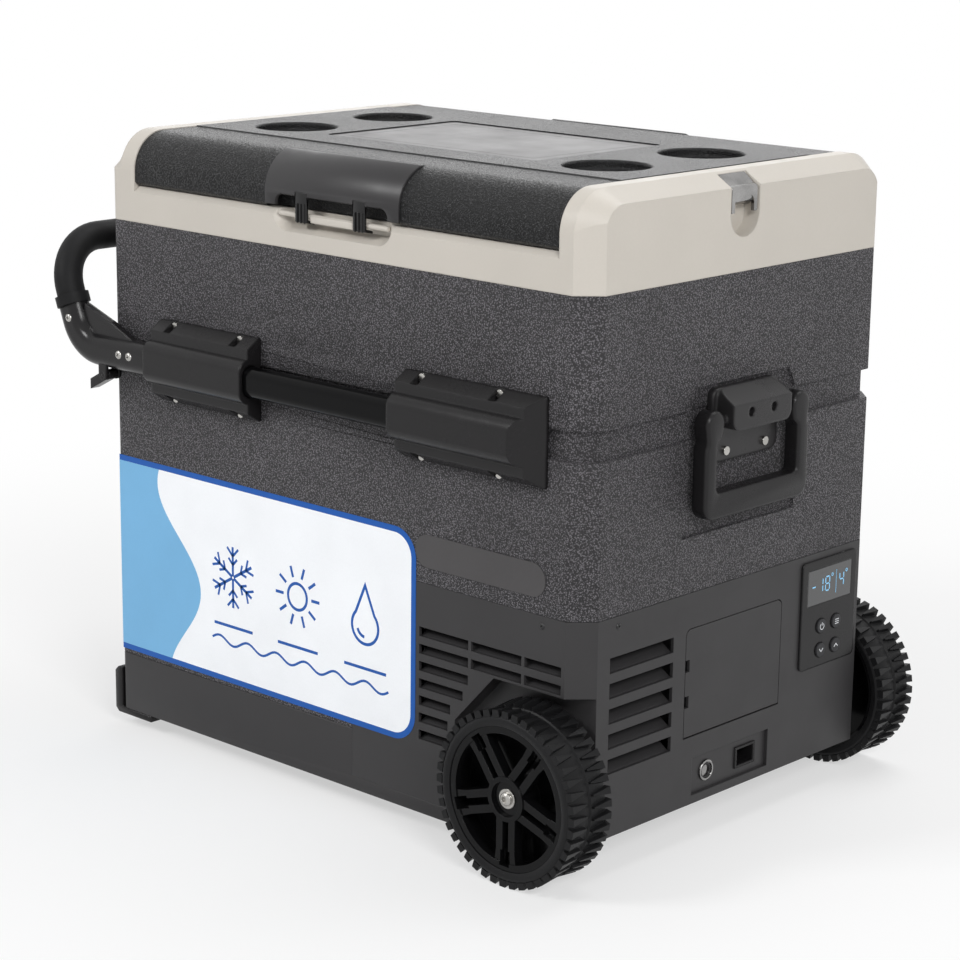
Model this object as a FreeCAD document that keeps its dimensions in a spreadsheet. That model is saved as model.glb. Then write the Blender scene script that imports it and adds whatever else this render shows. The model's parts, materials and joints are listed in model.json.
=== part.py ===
# Compressor cooler fridge on wheels: a two-compartment chest with a dual-side lid, a pull-out handle
# on the long sides, a drop handle on the wheel end and the refrigeration unit under the right compartment.
# Millimetres. X runs along the chest to the wheel end, Y to the rear long side, Z up from the floor.
import FreeCAD, Part
import math
import os
import Sketcher

Vector = FreeCAD.Vector

# Driving dimensions: spreadsheet alias, value in millimetres (or a count), what it is.
DIMENSIONS = [
    ("body_length", 544, "chest, over the two end faces"),
    ("body_width", 375, "chest, over the two long faces"),
    ("cap_end_inset", 16, "end cap at the wheel end, narrower at its end face"),
    ("cap_end_corner", 20, "end cap at the wheel end, its corners at the end face"),
    ("corner_cut", 17.6, "45 degree cut on the corners of the wheel end"),
    ("shell_wall", 5, "outer casing, long sides and floor"),
    ("deep_wall", 9, "outer casing at its ends and behind the grooves"),
    ("foam_wall", 35, "long face to the compartment tub"),
    ("foam_end", 50, "end face to the compartment tub"),
    ("left_floor_rise", 35, "underside of the left tub above the tray's seam"),
    ("right_floor_rise", 35, "underside of the right tub above the machine housing"),
    ("liner_wall", 2, "compartment tub"),
    ("liner_corner", 25, "compartment tub, corner radius"),
    ("liner_flange", 6, "rim of a tub on the foam"),
    ("divider_left", -10, "left compartment's side of the divider"),
    ("divider_thickness", 18, "wall between the compartments"),
    ("evaporator_wall", 1.5, "evaporator plate round a tub"),
    ("evaporator_height", 110, "evaporator plate"),
    ("liner_edge", 10, "rounded floor edge of a tub"),
    ("evaporator_drop", 60, "top of the evaporator below the tub's rim"),
    ("tray_bottom", 17, "underside of the base above the floor"),
    ("tray_height", 53, "base tray, up to its seam with the casing"),
    ("tray_wall", 3, "base tray and machine housing"),
    ("heel_lift", 16, "underside at the wheel end above the rest of it"),
    ("heel_length", 122, "raised part of the underside"),
    ("housing_length", 247, "machine housing"),
    ("housing_height", 141, "machine housing above the tray's seam"),
    ("frame_above_channel", 102, "seam of the top frame above the rods' groove"),
    ("frame_height", 31, "top frame under the lid"),
    ("ledge_height", 14, "ledge that the lid's seal presses on"),
    ("frame_wall", 17.5, "long sides of the top frame"),
    ("frame_end_wall", 39, "ends of the top frame"),
    ("frame_edge_cut", 5, "bevel under the lid's edge"),
    ("cap_height", 46, "end caps above the top of the frame"),
    ("cap_bevel_out", 14, "bevel of an end cap, along the chest"),
    ("cap_bevel_down", 11, "bevel of an end cap, downwards"),
    ("cap_shoulder_rise", 11, "end cap, foot of its sloping corners"),
    ("cap_flat_inset", 42, "end cap, its flat top from the long face"),
    ("cap_hollow", 5, "wall of the hollow end caps"),
    ("roll_radius", 33, "rounded long edges of lid and caps"),
    ("lid_end_inset", 32, "lid's end from the end face"),
    ("lid_side_inset", 0.5, "lid's long edge behind the long face"),
    ("lid_gap", 1, "lid above the frame"),
    ("lid_crown", 0.5, "raised middle of the lid above the end caps"),
    ("lid_step", 1, "height of the raised middle"),
    ("lid_step_inset", 70, "raised middle of the lid from its long edge"),
    ("lid_edge_cut", 2.5, "bevel of the lid's lower edge"),
    ("lid_end_gap", 0.8, "lid's end to the end cap"),
    ("lid_wall", 3, "lid skin"),
    ("lid_roll_depth", 23, "solid long edge of the lid"),
    ("panel_end_inset", 121, "smooth panel from the lid's end"),
    ("panel_side_inset", 108, "smooth panel from the lid's long edge"),
    ("panel_depth", 2.5, "recess of the smooth panel"),
    ("panel_thickness", 1.5, "smooth panel"),
    ("cup_radius", 35, "cup holder"),
    ("cup_depth", 8, "cup holder"),
    ("cup_rim", 2.2, "rounded rim of a cup holder"),
    ("cup_floor_round", 3, "rounded floor edge of a cup holder"),
    ("cup_inset_along", 64, "cup holder's middle from the lid's end"),
    ("cup_inset_across", 128, "cup holder's middle from the lid's long edge"),
    ("plug_drop", 13, "lid's inner pan below the lid's edge"),
    ("plug_wall", 2.5, "lid's inner pan"),
    ("plug_margin", 11, "lid's inner pan inside the lid's end"),
    ("seal_width", 8, "lid seal"),
    ("seal_gap", 0.3, "lid seal to its ledge, and other light contacts"),
    ("recess_half_length", 68, "latch recess in the frame"),
    ("recess_scoop", 12, "latch recess, its sloping ends"),
    ("recess_floor_rise", 6, "latch recess, its sloping floor"),
    ("recess_drop", 17.5, "latch recess below the top of the frame"),
    ("recess_depth", 13, "latch recess in the frame"),
    ("catch_radius", 2.2, "catch bar"),
    ("catch_inset", 3.5, "catch bar's axis behind the long face"),
    ("catch_drop", 3.5, "catch bar's axis, the lid's hinge, below the top of the frame"),
    ("latch_half_length", 76, "latch cover"),
    ("latch_wall", 4, "latch cover"),
    ("latch_proud", 1.5, "latch cover in front of the lid"),
    ("latch_pocket", 11, "depth of the lid's pocket behind the latch cover"),
    ("latch_pin_radius", 1.5, "latch hinge pin"),
    ("latch_pin_orbit", 30.9, "latch hinge pin from the centre of the lid's rounded edge"),
    ("latch_pin_angle", 16.5, "latch hinge pin from the top of the lid's rounded edge, in degrees"),
    ("finger_half_length", 64, "finger notch in the latch cover"),
    ("finger_height", 9, "finger notch in the latch cover"),
    ("finger_corner", 7.2, "finger notch, rounded ends"),
    ("hook_place", 33, "latch hooks from the middle"),
    ("hook_width", 13.5, "latch hook"),
    ("hook_wall", 2.2, "latch hook"),
    ("hook_gap", 0.4, "latch hook to the catch bar"),
    ("hook_reach", 4.5, "hook's lip behind the catch bar's axis"),
    ("hook_lip_drop", 2, "slope of the hook's lip"),
    ("channel_rise", 123, "groove for the pull rods above the machine housing"),
    ("channel_height", 24, "groove that the pull rods lie in"),
    ("channel_depth", 5, "groove round the chest"),
    ("rod_rise", 12.5, "axis of the pull rods above the foot of their groove"),
    ("rod_offset", 12, "axis of the pull rods in front of the long face"),
    ("rod_tall", 26, "oval pull rod"),
    ("rod_deep", 17, "oval pull rod"),
    ("rod_wall", 1.6, "oval pull rod"),
    ("rod_fit", 0.3, "pull rod in its brackets"),
    ("rod_end_room", 8, "pull rod's end to the closed end of its bracket"),
    ("left_bracket_inset", 67, "rod bracket from the handle end"),
    ("bracket_length", 122, "open rod bracket"),
    ("right_bracket_inset", 185, "rod bracket from the wheel end"),
    ("bracket_end_wall", 25, "closed end of the bracket at the wheel end"),
    ("bracket_end_slope", 20, "sloping end of the bracket at the wheel end"),
    ("bracket_half_height", 35, "rod bracket"),
    ("bracket_shoulder", 15, "rod bracket, height of its sloping sides"),
    ("bracket_step", 27, "rod bracket, half height where its sloping sides end"),
    ("bracket_waist", 19, "rod bracket, half height of the round middle"),
    ("bracket_proud", 24.5, "rod bracket, its greatest height"),
    ("bracket_screw_along", 41, "bracket screws from the bracket's middle"),
    ("bracket_screw_up", 31, "bracket screws from the rod's axis"),
    ("screw_radius", 2, "case screw shank"),
    ("screw_head_radius", 3.6, "case screw head"),
    ("screw_head_height", 2.4, "case screw head"),
    ("screw_length", 3.5, "case screw in the casing"),
    ("elbow_tall", 28, "elbow of the pull handle"),
    ("elbow_deep", 22, "elbow of the pull handle"),
    ("elbow_gap", 1, "elbow to its bracket"),
    ("elbow_socket", 35, "pull rod inside the elbow"),
    ("elbow_out", 26, "corner of the elbow's axis beyond the handle end"),
    ("elbow_bend", 34, "bend of the elbow's axis"),
    ("elbow_rise", 37, "elbow's corner to its upper end"),
    ("handle_lean", 21, "lean of the grip from upright, in degrees"),
    ("grip_radius", 12.6, "grip"),
    ("grip_leg", 14, "straight part of the grip's legs"),
    ("grip_bend", 44, "corners of the grip"),
    ("grip_collar_radius", 15, "collar at the foot of the grip"),
    ("grip_collar_length", 9, "collar at the foot of the grip"),
    ("web_thickness", 6, "web in the elbow's corner"),
    ("lever_length", 21, "release lever under the elbow"),
    ("lever_thickness", 9, "release lever"),
    ("lever_drop", 13, "release lever below the elbow"),
    ("lever_gap", 0.6, "release lever in its slot"),
    ("wheel_inset", 45.5, "wheel axis from the wheel end"),
    ("wheel_radius", 71, "wheel over its lugs"),
    ("wheel_face", 36, "outer face of a wheel beyond the long face"),
    ("wheel_width", 45, "wheel over its tyre"),
    ("tyre_side_radius", 65.5, "tyre's smooth side"),
    ("tyre_groove_radius", 66.5, "tyre between its lugs"),
    ("tyre_bead_radius", 58, "tyre on its rim"),
    ("tyre_gap", 5, "smooth band between the two rows of lugs"),
    ("lug_count", 44, "lugs in a row"),
    ("lug_share", 0.5, "lug as a share of its pitch"),
    ("rim_open_radius", 52, "inside of the rim's ring"),
    ("rim_wall", 3, "barrel of the rim"),
    ("hub_radius", 18, "wheel hub"),
    ("hub_bore_gap", 0.1, "wheel hub on its axle"),
    ("spoke_pairs", 5, "pairs of spokes"),
    ("spoke_width", 6.5, "spoke"),
    ("spoke_gap", 6, "slot between the two spokes of a pair"),
    ("spoke_depth", 9, "spoke"),
    ("axle_radius", 5, "axle"),
    ("axle_shoulder", 8, "shoulder of the axle behind a wheel"),
    ("nut_radius", 6, "axle end bolt"),
    ("nut_height", 4, "axle end bolt"),
    ("arch_reach", 85.5, "wheel arch, foot of its slope from the wheel axis"),
    ("arch_slope_rise", 36, "wheel arch, foot of its slope above the tray's seam"),
    ("arch_top_reach", 44.5, "wheel arch, head of its slope from the wheel axis"),
    ("arch_rise", 80, "wheel arch above the tray's seam"),
    ("louvre_inset_left", 171, "left side of the front louvres from the wheel end"),
    ("louvre_inset_right", 21, "right side of the front louvres from the wheel end"),
    ("louvre_rise", 10, "lowest louvre above the tray's seam"),
    ("louvre_pitch", 14.4, "louvres"),
    ("louvre_height", 8, "louvre opening"),
    ("louvre_count", 7, "louvres"),
    ("louvre_rib", 3, "uprights between louvres"),
    ("louvre_rib_one_place", 55, "first upright of the louvres"),
    ("louvre_rib_two_place", 111, "second upright of the louvres"),
    ("vent_inset", 32.5, "end vents from the long face"),
    ("vent_width", 77, "end vents"),
    ("vent_rise", 15, "lowest end vent above the tray's seam"),
    ("vent_pitch", 20.4, "end vents"),
    ("vent_height", 12.5, "end vent opening"),
    ("vent_count", 5, "end vents"),
    ("vent_slat", 12, "slats behind the end vents, their depth"),
    ("vent_slat_rise", 8, "slats behind the end vents, their slope"),
    ("louvre_slat", 10, "slats behind the louvres, their depth"),
    ("louvre_slat_rise", 6.5, "slats behind the louvres, their slope"),
    ("slat_wall", 2, "slats behind the vents"),
    ("flap_half_width", 62, "battery door"),
    ("flap_rise", 21, "battery door above the tray's seam"),
    ("flap_height", 90, "battery door"),
    ("flap_thickness", 3, "battery door"),
    ("flap_gap", 0.7, "battery door in its opening"),
    ("bay_depth", 112, "battery bay"),
    ("bay_wall", 2, "battery bay"),
    ("socket_half_width", 50, "socket panel in the end face"),
    ("socket_rise", 7, "socket panel above the underside"),
    ("socket_height", 32, "socket panel in the end face"),
    ("socket_inset", 3, "socket panel behind the end face"),
    ("socket_radius", 7, "round power socket"),
    ("socket_place", -30, "round power socket"),
    ("control_width", 76, "control panel"),
    ("control_inset", 23.5, "control panel from the long face"),
    ("control_rise", 42, "control panel above the tray's seam"),
    ("control_height", 93, "control panel"),
    ("button_radius", 6, "control button"),
    ("button_travel", 1, "control button"),
    ("button_gap", 0.3, "control button in its hole"),
    ("button_proud", 1.6, "control button in front of the bezel"),
    ("button_edge", 0.5, "control button, rounded edge"),
    ("button_pitch", 21, "control buttons"),
    ("handle_pivot_out", 10, "drop handle's hinge beyond the end face"),
    ("handle_pivot_drop", 23, "drop handle's hinge below the top of its plate"),
    ("handle_half_width", 66, "drop handle"),
    ("handle_arm", 14, "drop handle, width of its arms"),
    ("handle_reach", 77, "drop handle below its hinge"),
    ("handle_bar", 21, "drop handle, height of its grip"),
    ("handle_thickness", 15, "drop handle"),
    ("handle_ear", 10, "drop handle, above its hinge"),
    ("handle_pin_radius", 3.5, "drop handle hinge pin"),
    ("pin_seat", 5, "drop handle hinge pin inside an arm"),
    ("pin_fit", 0.08, "hinge pins in their holes"),
    ("plate_half_width", 42, "drop handle's mounting plate"),
    ("plate_height", 59, "drop handle's mounting plate"),
    ("plate_rise", 14, "drop handle's mounting plate above the rods' groove"),
    ("plate_thickness", 5.5, "drop handle's mounting plate"),
    ("block_half_width", 37, "raised block of the mounting plate"),
    ("block_height", 32, "raised block of the mounting plate"),
    ("block_slope", 11.5, "sloping top of the raised block"),
    ("block_corner", 8, "corners of the raised block"),
    ("block_proud", 20, "raised block of the mounting plate"),
    ("end_recess_depth", 3, "recess round the drop handle"),
    ("end_recess_margin", 6, "recess beside the drop handle"),
    ("end_recess_drop", 15, "recess below the drop handle"),
    ("end_recess_rise", 3, "recess above the mounting plate"),
    ("opener_middle", -6, "bottle opener"),
    ("opener_half_width", 16, "bottle opener"),
    ("opener_height", 29, "bottle opener"),
    ("opener_drop", 2, "bottle opener below the top of the cap"),
    ("opener_catch", 19, "recess below the bottle opener"),
    ("opener_recess_depth", 15, "recess of the bottle opener"),
    ("notch_one_rise", 72, "lower groove of the handle end above the tray's seam"),
    ("notch_pitch", 55.5, "grooves of the handle end"),
    ("notch_height", 32.5, "grooves of the handle end"),
    ("notch_depth", 5, "grooves of the handle end"),
    ("notch_return", 37, "grooves run this far round the corner"),
    ("foot_thickness", 9, "corner foot at the handle end"),
    ("foot_width", 46, "corner foot at the handle end"),
    ("foot_bottom", 11, "corner foot at the handle end"),
    ("foot_height", 43, "corner foot at the handle end"),
    ("foot_length", 40, "corner foot under the tray"),
    ("pad_radius", 20, "rubber foot"),
    ("pad_inset_along", 67, "rubber foot from the handle end"),
    ("pad_inset_across", 69.5, "rubber foot from the long face"),
    ("label_thickness", 0.3, "label on the long face"),
    ("label_inset", 4, "label from the handle end"),
    ("label_rise", 4, "label above the tray's seam"),
    ("label_height", 178, "label on the long face"),
    ("label_corner", 24, "label on the long face"),
    ("badge_thickness", 0.8, "smooth strip on the long face"),
    ("badge_length", 137, "smooth strip on the long face"),
    ("badge_inset", 38, "smooth strip from the wheel end"),
    ("badge_height", 27, "smooth strip on the long face"),
    ("badge_rise", 40.5, "top of the smooth strip above the machine housing"),
    ("compressor_radius", 48, "compressor can"),
    ("compressor_foot", 38.4, "half width of the compressor's base plate"),
    ("compressor_height", 128, "compressor can"),
    ("compressor_inset", 63, "compressor's middle from the housing's left side"),
    ("compressor_inset_across", 92.5, "compressor's middle from the rear face"),
    ("mount_height", 9, "rubber mounts of the compressor"),
    ("mount_radius", 7, "rubber mounts of the compressor"),
    ("condenser_inset", 23, "condenser from the housing's left side"),
    ("condenser_to_axle", 28.5, "condenser's end before the axle"),
    ("condenser_height", 130, "condenser"),
    ("condenser_depth", 32, "condenser"),
    ("condenser_inset_across", 29.5, "condenser behind the front face"),
    ("fin_pitch", 6, "condenser fins"),
    ("fin_thickness", 0.6, "condenser fins"),
    ("tube_radius", 4, "condenser tubes"),
    ("fan_size", 120, "fan"),
    ("fan_corner", 7.5, "rounded corners of the fan, and its studs from the corners"),
    ("fan_depth", 25, "fan"),
    ("fan_bore", 56, "fan's air opening"),
    ("fan_hub", 19, "fan's hub"),
    ("fan_tip_gap", 1.5, "fan's blades in their opening"),
    ("blade_count", 7, "fan blades"),
    ("pipe_radius", 3, "refrigerant pipes"),
    ("module_room", 25, "power electronics from the housing's left side"),
    ("drier_radius", 7.5, "filter drier"),
    ("pipe_bend", 7, "refrigerant pipes"),
    ("pipe_seat", 1, "refrigerant pipe inside the compressor can"),
    ("can_edge", 8, "rounded edges of the compressor can"),
    ("module_length", 92, "power electronics"),
    ("module_width", 70, "power electronics"),
    ("module_height", 44, "power electronics"),
    ("module_base", 26.4, "power electronics below their fins"),
    ("module_pitch", 9, "fins of the power electronics"),
    ("corner_round", 8, "round corners of the handle end"),
    ("notch_side_depth", 3, "end grooves where they run onto the long faces"),
    ("end_recess_corner", 24, "cut corners of the handle recess"),
    ("plate_screw_across", 25, "screws of the handle plate"),
    ("plate_screw_rise", 8, "screws above the foot of the mounting plate"),
    ("plate_corner", 8, "corners of the handle plate"),
    ("block_hole_across", 14.5, "dents in the handle plate's block"),
    ("block_hole_drop", 19, "dents below the top of the mounting plate"),
    ("block_hole_radius", 4, "dents in the handle plate's block"),
    ("block_hole_depth", 6, "dents in the handle plate's block"),
    ("seam_rise", 12, "seam between base tray and machine housing above the tray's underside"),
    ("louvre_margin", 8, "louvres to the wheel arch"),
    ("panel_lip", 4, "flange of the control panel"),
    ("panel_flange", 2, "control panel in front of the end face"),
    ("panel_boss", 12, "control panel inside the end face"),
    ("button_length", 10, "control button hole"),
    ("display_thickness", 1.5, "display window"),
    ("display_height", 30, "display window"),
    ("flap_pin_radius", 0.8, "battery door hinge pins"),
    ("flap_pin_length", 2, "battery door hinge pins"),
    ("flap_notch", 5, "clip notches of the battery door"),
    ("flap_notches", 2, "clip notches of the battery door"),
    ("flap_corner", 6, "upper corners of the battery door"),
    ("bay_rim", 3, "rim of the battery bay round its opening"),
    ("battery_room", 3, "room round the battery"),
    ("inlet_width", 26, "flat power inlet"),
    ("inlet_height", 18, "flat power inlet"),
    ("inlet_place", 22, "flat power inlet"),
    ("socket_wall", 2, "power sockets"),
    ("socket_depth", 22, "power sockets"),
    ("socket_proud", 1.5, "power sockets in front of their panel"),
    ("recess_corner", 16, "round corners of the latch recess"),
    ("recess_inner_corner", 6, "round corners at the back of the latch recess"),
    ("leg_gap", 0.8, "legs of the catch bar to the hooks"),
    ("leg_width", 3, "legs of the catch bar"),
    ("leg_drop", 5, "legs of the catch bar below its axis"),
    ("catch_end", 6, "catch bar short of the recess's ends"),
    ("opener_room", 2, "recess round the bottle opener"),
    ("opener_inset", 1, "bottle opener behind the end face"),
    ("opener_thickness", 3, "bottle opener"),
    ("opener_knee", 8, "bend of the bottle opener below its top"),
    ("opener_bend", 4, "bend of the bottle opener"),
    ("opener_cheek", 4, "bottle opener beside its mouth"),
    ("opener_mouth", 13, "mouth of the bottle opener, height"),
    ("opener_mouth_corner", 6, "mouth of the bottle opener, corners"),
    ("bracket_base", 3, "rod bracket, its flat edge"),
    ("bracket_bulge", 12, "rod bracket, rounding of its middle"),
    ("handle_corner", 12, "drop handle, outer corners"),
    ("handle_edge", 3.5, "drop handle, rounded edges"),
    ("foot_screw_drop", 10, "corner foot's screw below its top"),
    ("foot_bevel", 4, "corner foot"),
    ("deck_thickness", 2, "steel mounting plate"),
    ("deck_inset", 40, "steel mounting plate before the wheel end"),
    ("tube_rows", 5, "condenser tube runs"),
    ("fan_standoff", 4, "fan behind the condenser"),
    ("fan_strut", 3, "fan struts"),
    ("fan_shaft", 4, "fan shaft"),
    ("blade_thickness", 0.9, "fan blade, half thickness"),
    ("blade_lean", 9, "fan blade, lean to each side"),
    ("blade_root_lean", 3, "fan blade, lean at the hub"),
    ("drier_length", 60, "filter drier"),
    ("drier_gap", 40, "filter drier behind the condenser"),
    ("panel_corner", 5, "smooth panel in the lid"),
    ("plug_gap", 4, "lid's inner pan to the frame"),
    ("latch_end_angle", 9, "end of the lid's pocket over the latch cover, from the top, in degrees"),
    ("latch_pin_seat", 4, "latch pin in the lid at each end"),
    ("latch_lift", 2, "latch cover above the lid's edge"),
    ("barrel_radius", 3.6, "round upper edge of the latch cover, on its pin"),
    ("web_inset", 8, "web in the elbow's corner"),
    ("web_reach", 52, "web in the elbow's corner"),
    ("web_rise", 12, "web in the elbow's corner"),
    ("web_top", 24, "web in the elbow's corner, at the elbow"),
    ("web_foot", 4.7, "web in the elbow's corner, from the corner of the axis"),
    ("elbow_round", 10, "rounded section of the elbow"),
    ("lever_half", 5, "half width of the release lever"),
    ("lever_place", 58, "release lever's pin from the elbow's end"),
    ("lever_pin_drop", 6.5, "release lever's pin below the elbow"),
    ("lever_pin_radius", 2, "release lever's pin"),
    ("cheek_wall", 3, "cheeks beside the release lever"),
    ("lug_foot", 1.25, "lug at its foot, times its width at the top"),
    ("lug_sink", 1, "lugs start below the floor of the groove"),
    ("corner_least", 0.5, "least rounding of a corner inside the chest"),
    ("rod_flat", 0.2, "flat at the middle of the pull rod's round sides"),
    ("seal_inset", 1, "lid seal inside the edge of the plug"),
    ("rim_inset", 2, "rim inside the tyre's sides"),
    ("rim_flange", 6, "flange of the rim"),
    ("rim_web", 2, "web behind the spokes"),
    ("rim_web_depth", 20, "web from the outer side of the rim"),
    ("hub_dish", 3, "dish in the hub"),
    ("hub_dish_radius", 14, "dish in the hub"),
    ("spoke_root", 5, "spoke inside the hub"),
    ("spoke_knee", 42, "wheel axis to the bend of a spoke"),
    ("spoke_flare", 2, "spoke's sideways lean beyond its bend"),
    ("spoke_set_back", 1, "spokes behind the face of the rim"),
    ("rim_notch", 2.5, "notch in the rim's flange between two spokes"),
    ("tyre_edge", 3, "smooth edge of the tyre beside the lugs"),
]

# Places that follow from the sizes: name, what it is measured from, which way, and how far.
PLACES = [
    ("heel_bottom", "tray_bottom", "+", "heel_lift"),
    ("tray_top", "tray_bottom", "+", "tray_height"),
    ("housing_top", "tray_top", "+", "housing_height"),
    ("left_floor", "tray_top", "+", "left_floor_rise"),
    ("right_floor", "housing_top", "+", "right_floor_rise"),
    ("channel_bottom", "housing_top", "+", "channel_rise"),
    ("channel_top", "channel_bottom", "+", "channel_height"),
    ("rod_height", "channel_bottom", "+", "rod_rise"),
    ("frame_bottom", "channel_top", "+", "frame_above_channel"),
    ("frame_wall_top", "frame_bottom", "+", "frame_height"),
    ("ledge_top", "frame_bottom", "+", "ledge_height"),
    ("cap_top", "frame_wall_top", "+", "cap_height"),
    ("cap_shoulder", "frame_wall_top", "+", "cap_shoulder_rise"),
    ("lid_bottom", "frame_wall_top", "+", "lid_gap"),
    ("lid_top", "cap_top", "+", "lid_crown"),
    ("recess_bottom", "frame_wall_top", "-", "recess_drop"),
    ("catch_height", "frame_wall_top", "-", "catch_drop"),
    ("opener_top", "cap_top", "-", "opener_drop"),
    ("opener_bottom", "opener_top", "-", "opener_height"),
    ("opener_recess_bottom", "opener_bottom", "-", "opener_catch"),
    ("lid_half_length", "half_length", "-", "lid_end_inset"),
    ("lid_half_width", "half_width", "-", "lid_side_inset"),
    ("lid_step_place", "lid_half_width", "-", "lid_step_inset"),
    ("panel_half_length", "lid_half_length", "-", "panel_end_inset"),
    ("panel_half_width", "lid_half_width", "-", "panel_side_inset"),
    ("cup_place_along", "lid_half_length", "-", "cup_inset_along"),
    ("cup_place_across", "lid_half_width", "-", "cup_inset_across"),
    ("cap_flat", "half_width", "-", "cap_flat_inset"),
    ("divider_right", "divider_left", "+", "divider_thickness"),
    ("left_bracket_start", "left_end", "+", "left_bracket_inset"),
    ("right_bracket_start", "half_length", "-", "right_bracket_inset"),
    ("elbow_corner", "left_end", "-", "elbow_out"),
    ("wheel_place", "half_length", "-", "wheel_inset"),
    ("heel_start", "half_length", "-", "heel_length"),
    ("housing_left", "half_length", "-", "housing_length"),
    ("louvre_left", "half_length", "-", "louvre_inset_left"),
    ("louvre_right", "half_length", "-", "louvre_inset_right"),
    ("louvre_rib_one", "louvre_left", "+", "louvre_rib_one_place"),
    ("louvre_rib_two", "louvre_left", "+", "louvre_rib_two_place"),
    ("louvre_bottom", "tray_top", "+", "louvre_rise"),
    ("vent_near", "half_width", "-", "vent_inset"),
    ("vent_far", "vent_near", "-", "vent_width"),
    ("vent_bottom", "tray_top", "+", "vent_rise"),
    ("flap_bottom", "tray_top", "+", "flap_rise"),
    ("flap_top", "flap_bottom", "+", "flap_height"),
    ("socket_bottom", "heel_bottom", "+", "socket_rise"),
    ("socket_top", "socket_bottom", "+", "socket_height"),
    ("panel_far", "half_width", "-", "control_inset"),
    ("panel_near", "panel_far", "-", "control_width"),
    ("panel_bottom", "tray_top", "+", "control_rise"),
    ("panel_top", "panel_bottom", "+", "control_height"),
    ("plate_top", "channel_top", "+", "plate_rise"),
    ("plate_bottom", "plate_top", "-", "plate_height"),
    ("block_bottom", "plate_top", "-", "block_height"),
    ("block_hole_height", "plate_top", "-", "block_hole_drop"),
    ("plate_screw_height", "plate_bottom", "+", "plate_screw_rise"),
    ("handle_pivot_height", "plate_top", "-", "handle_pivot_drop"),
    ("handle_bottom", "handle_pivot_height", "-", "handle_reach"),
    ("end_recess_half_width", "handle_half_width", "+", "end_recess_margin"),
    ("end_recess_bottom", "handle_bottom", "-", "end_recess_drop"),
    ("end_recess_top", "plate_top", "+", "end_recess_rise"),
    ("notch_one_bottom", "tray_top", "+", "notch_one_rise"),
    ("notch_two_bottom", "notch_one_bottom", "+", "notch_pitch"),
    ("foot_top", "foot_bottom", "+", "foot_height"),
    ("foot_screw_height", "foot_top", "-", "foot_screw_drop"),
    ("foot_inner", "left_end", "+", "foot_length"),
    ("pad_place_along", "left_end", "+", "pad_inset_along"),
    ("pad_place_across", "half_width", "-", "pad_inset_across"),
    ("badge_right", "half_length", "-", "badge_inset"),
    ("badge_left", "badge_right", "-", "badge_length"),
    ("badge_top", "housing_top", "+", "badge_rise"),
    ("badge_bottom", "badge_top", "-", "badge_height"),
    ("label_left", "left_end", "+", "label_inset"),
    ("label_bottom", "tray_top", "+", "label_rise"),
    ("label_top", "label_bottom", "+", "label_height"),
    ("compressor_along", "housing_left", "+", "compressor_inset"),
    ("compressor_across", "half_width", "-", "compressor_inset_across"),
    ("condenser_left", "housing_left", "+", "condenser_inset"),
    ("condenser_right", "wheel_place", "-", "condenser_to_axle"),
    ("condenser_front", "front_face", "+", "condenser_inset_across"),
    ("deck_right", "half_length", "-", "deck_inset"),
    ("tray_seam", "tray_bottom", "+", "seam_rise"),
    ("arch_top", "tray_top", "+", "arch_rise"),
    ("arch_slope_bottom", "tray_top", "+", "arch_slope_rise"),
    ("arch_slope_top", "wheel_place", "-", "arch_top_reach"),
    ("arch_left_low", "wheel_place", "-", "arch_reach"),
]

doc = FreeCAD.newDocument("cooler")
sheet = doc.addObject("Spreadsheet::Sheet", "Sizes")


class Size:
    """A length: its value now, and the expression on the sheet that it follows."""

    def __init__(self, value, text):
        self.value = value
        self.text = text

    def __add__(self, other):
        return Size(self.value + amount(other), "(%s + %s)" % (self.text, words(other)))

    def __radd__(self, other):
        return self + other

    def __sub__(self, other):
        return Size(self.value - amount(other), "(%s - %s)" % (self.text, words(other)))

    def __rsub__(self, other):
        return Size(amount(other) - self.value, "(%s - %s)" % (words(other), self.text))

    def __mul__(self, other):
        return Size(self.value * amount(other), "(%s * %s)" % (self.text, words(other)))

    def __rmul__(self, other):
        return self * other

    def __truediv__(self, other):
        return Size(self.value / amount(other), "(%s / %s)" % (self.text, words(other)))

    def __neg__(self):
        return self * -1


def amount(length):
    return length.value if isinstance(length, Size) else float(length)


def words(length):
    return length.text if isinstance(length, Size) else "%.6f" % length


def fill_sheet():
    sizes = {}
    for row, (alias, value, note) in enumerate(DIMENSIONS, start=1):
        sheet.set("A%d" % row, alias)
        sheet.set("B%d" % row, str(value))
        sheet.set("C%d" % row, note)
        sheet.setAlias("B%d" % row, alias)
        sizes[alias] = Size(float(value), "Sizes." + alias)
    doc.recompute()
    return sizes


ZERO = Size(0, "0")
S = fill_sheet()
HALF_LENGTH = S["body_length"] / 2
HALF_WIDTH = S["body_width"] / 2
S.update(half_length=HALF_LENGTH, half_width=HALF_WIDTH, left_end=-HALF_LENGTH, front_face=-HALF_WIDTH)
for place_name, base_name, way, step_name in PLACES:
    S[place_name] = S[base_name] + S[step_name] if way == "+" else S[base_name] - S[step_name]


# ---------------------------------------------------------------- drawing helpers

def bind(thing, property_name, length):
    thing.setExpression(property_name, words(length))


def new_body(label):
    body = doc.addObject("PartDesign::Body", label)
    body.Label = label
    body.AllowCompound = True
    return body


def origin_plane(body, plane):
    return [f for f in body.Origin.OriginFeatures if f.Role == plane + "_Plane"][0]


def arc(x, y, radius, turn):
    """A corner reached by an arc: turn 1 is anticlockwise on the sketch, -1 clockwise."""
    return (x, y, radius, turn)


def disc(x, y, radius):
    return {"x": x, "y": y, "radius": radius}


def box_outline(left, low, right, high):
    return [(left, low), (right, low), (right, high), (left, high)]


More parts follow.
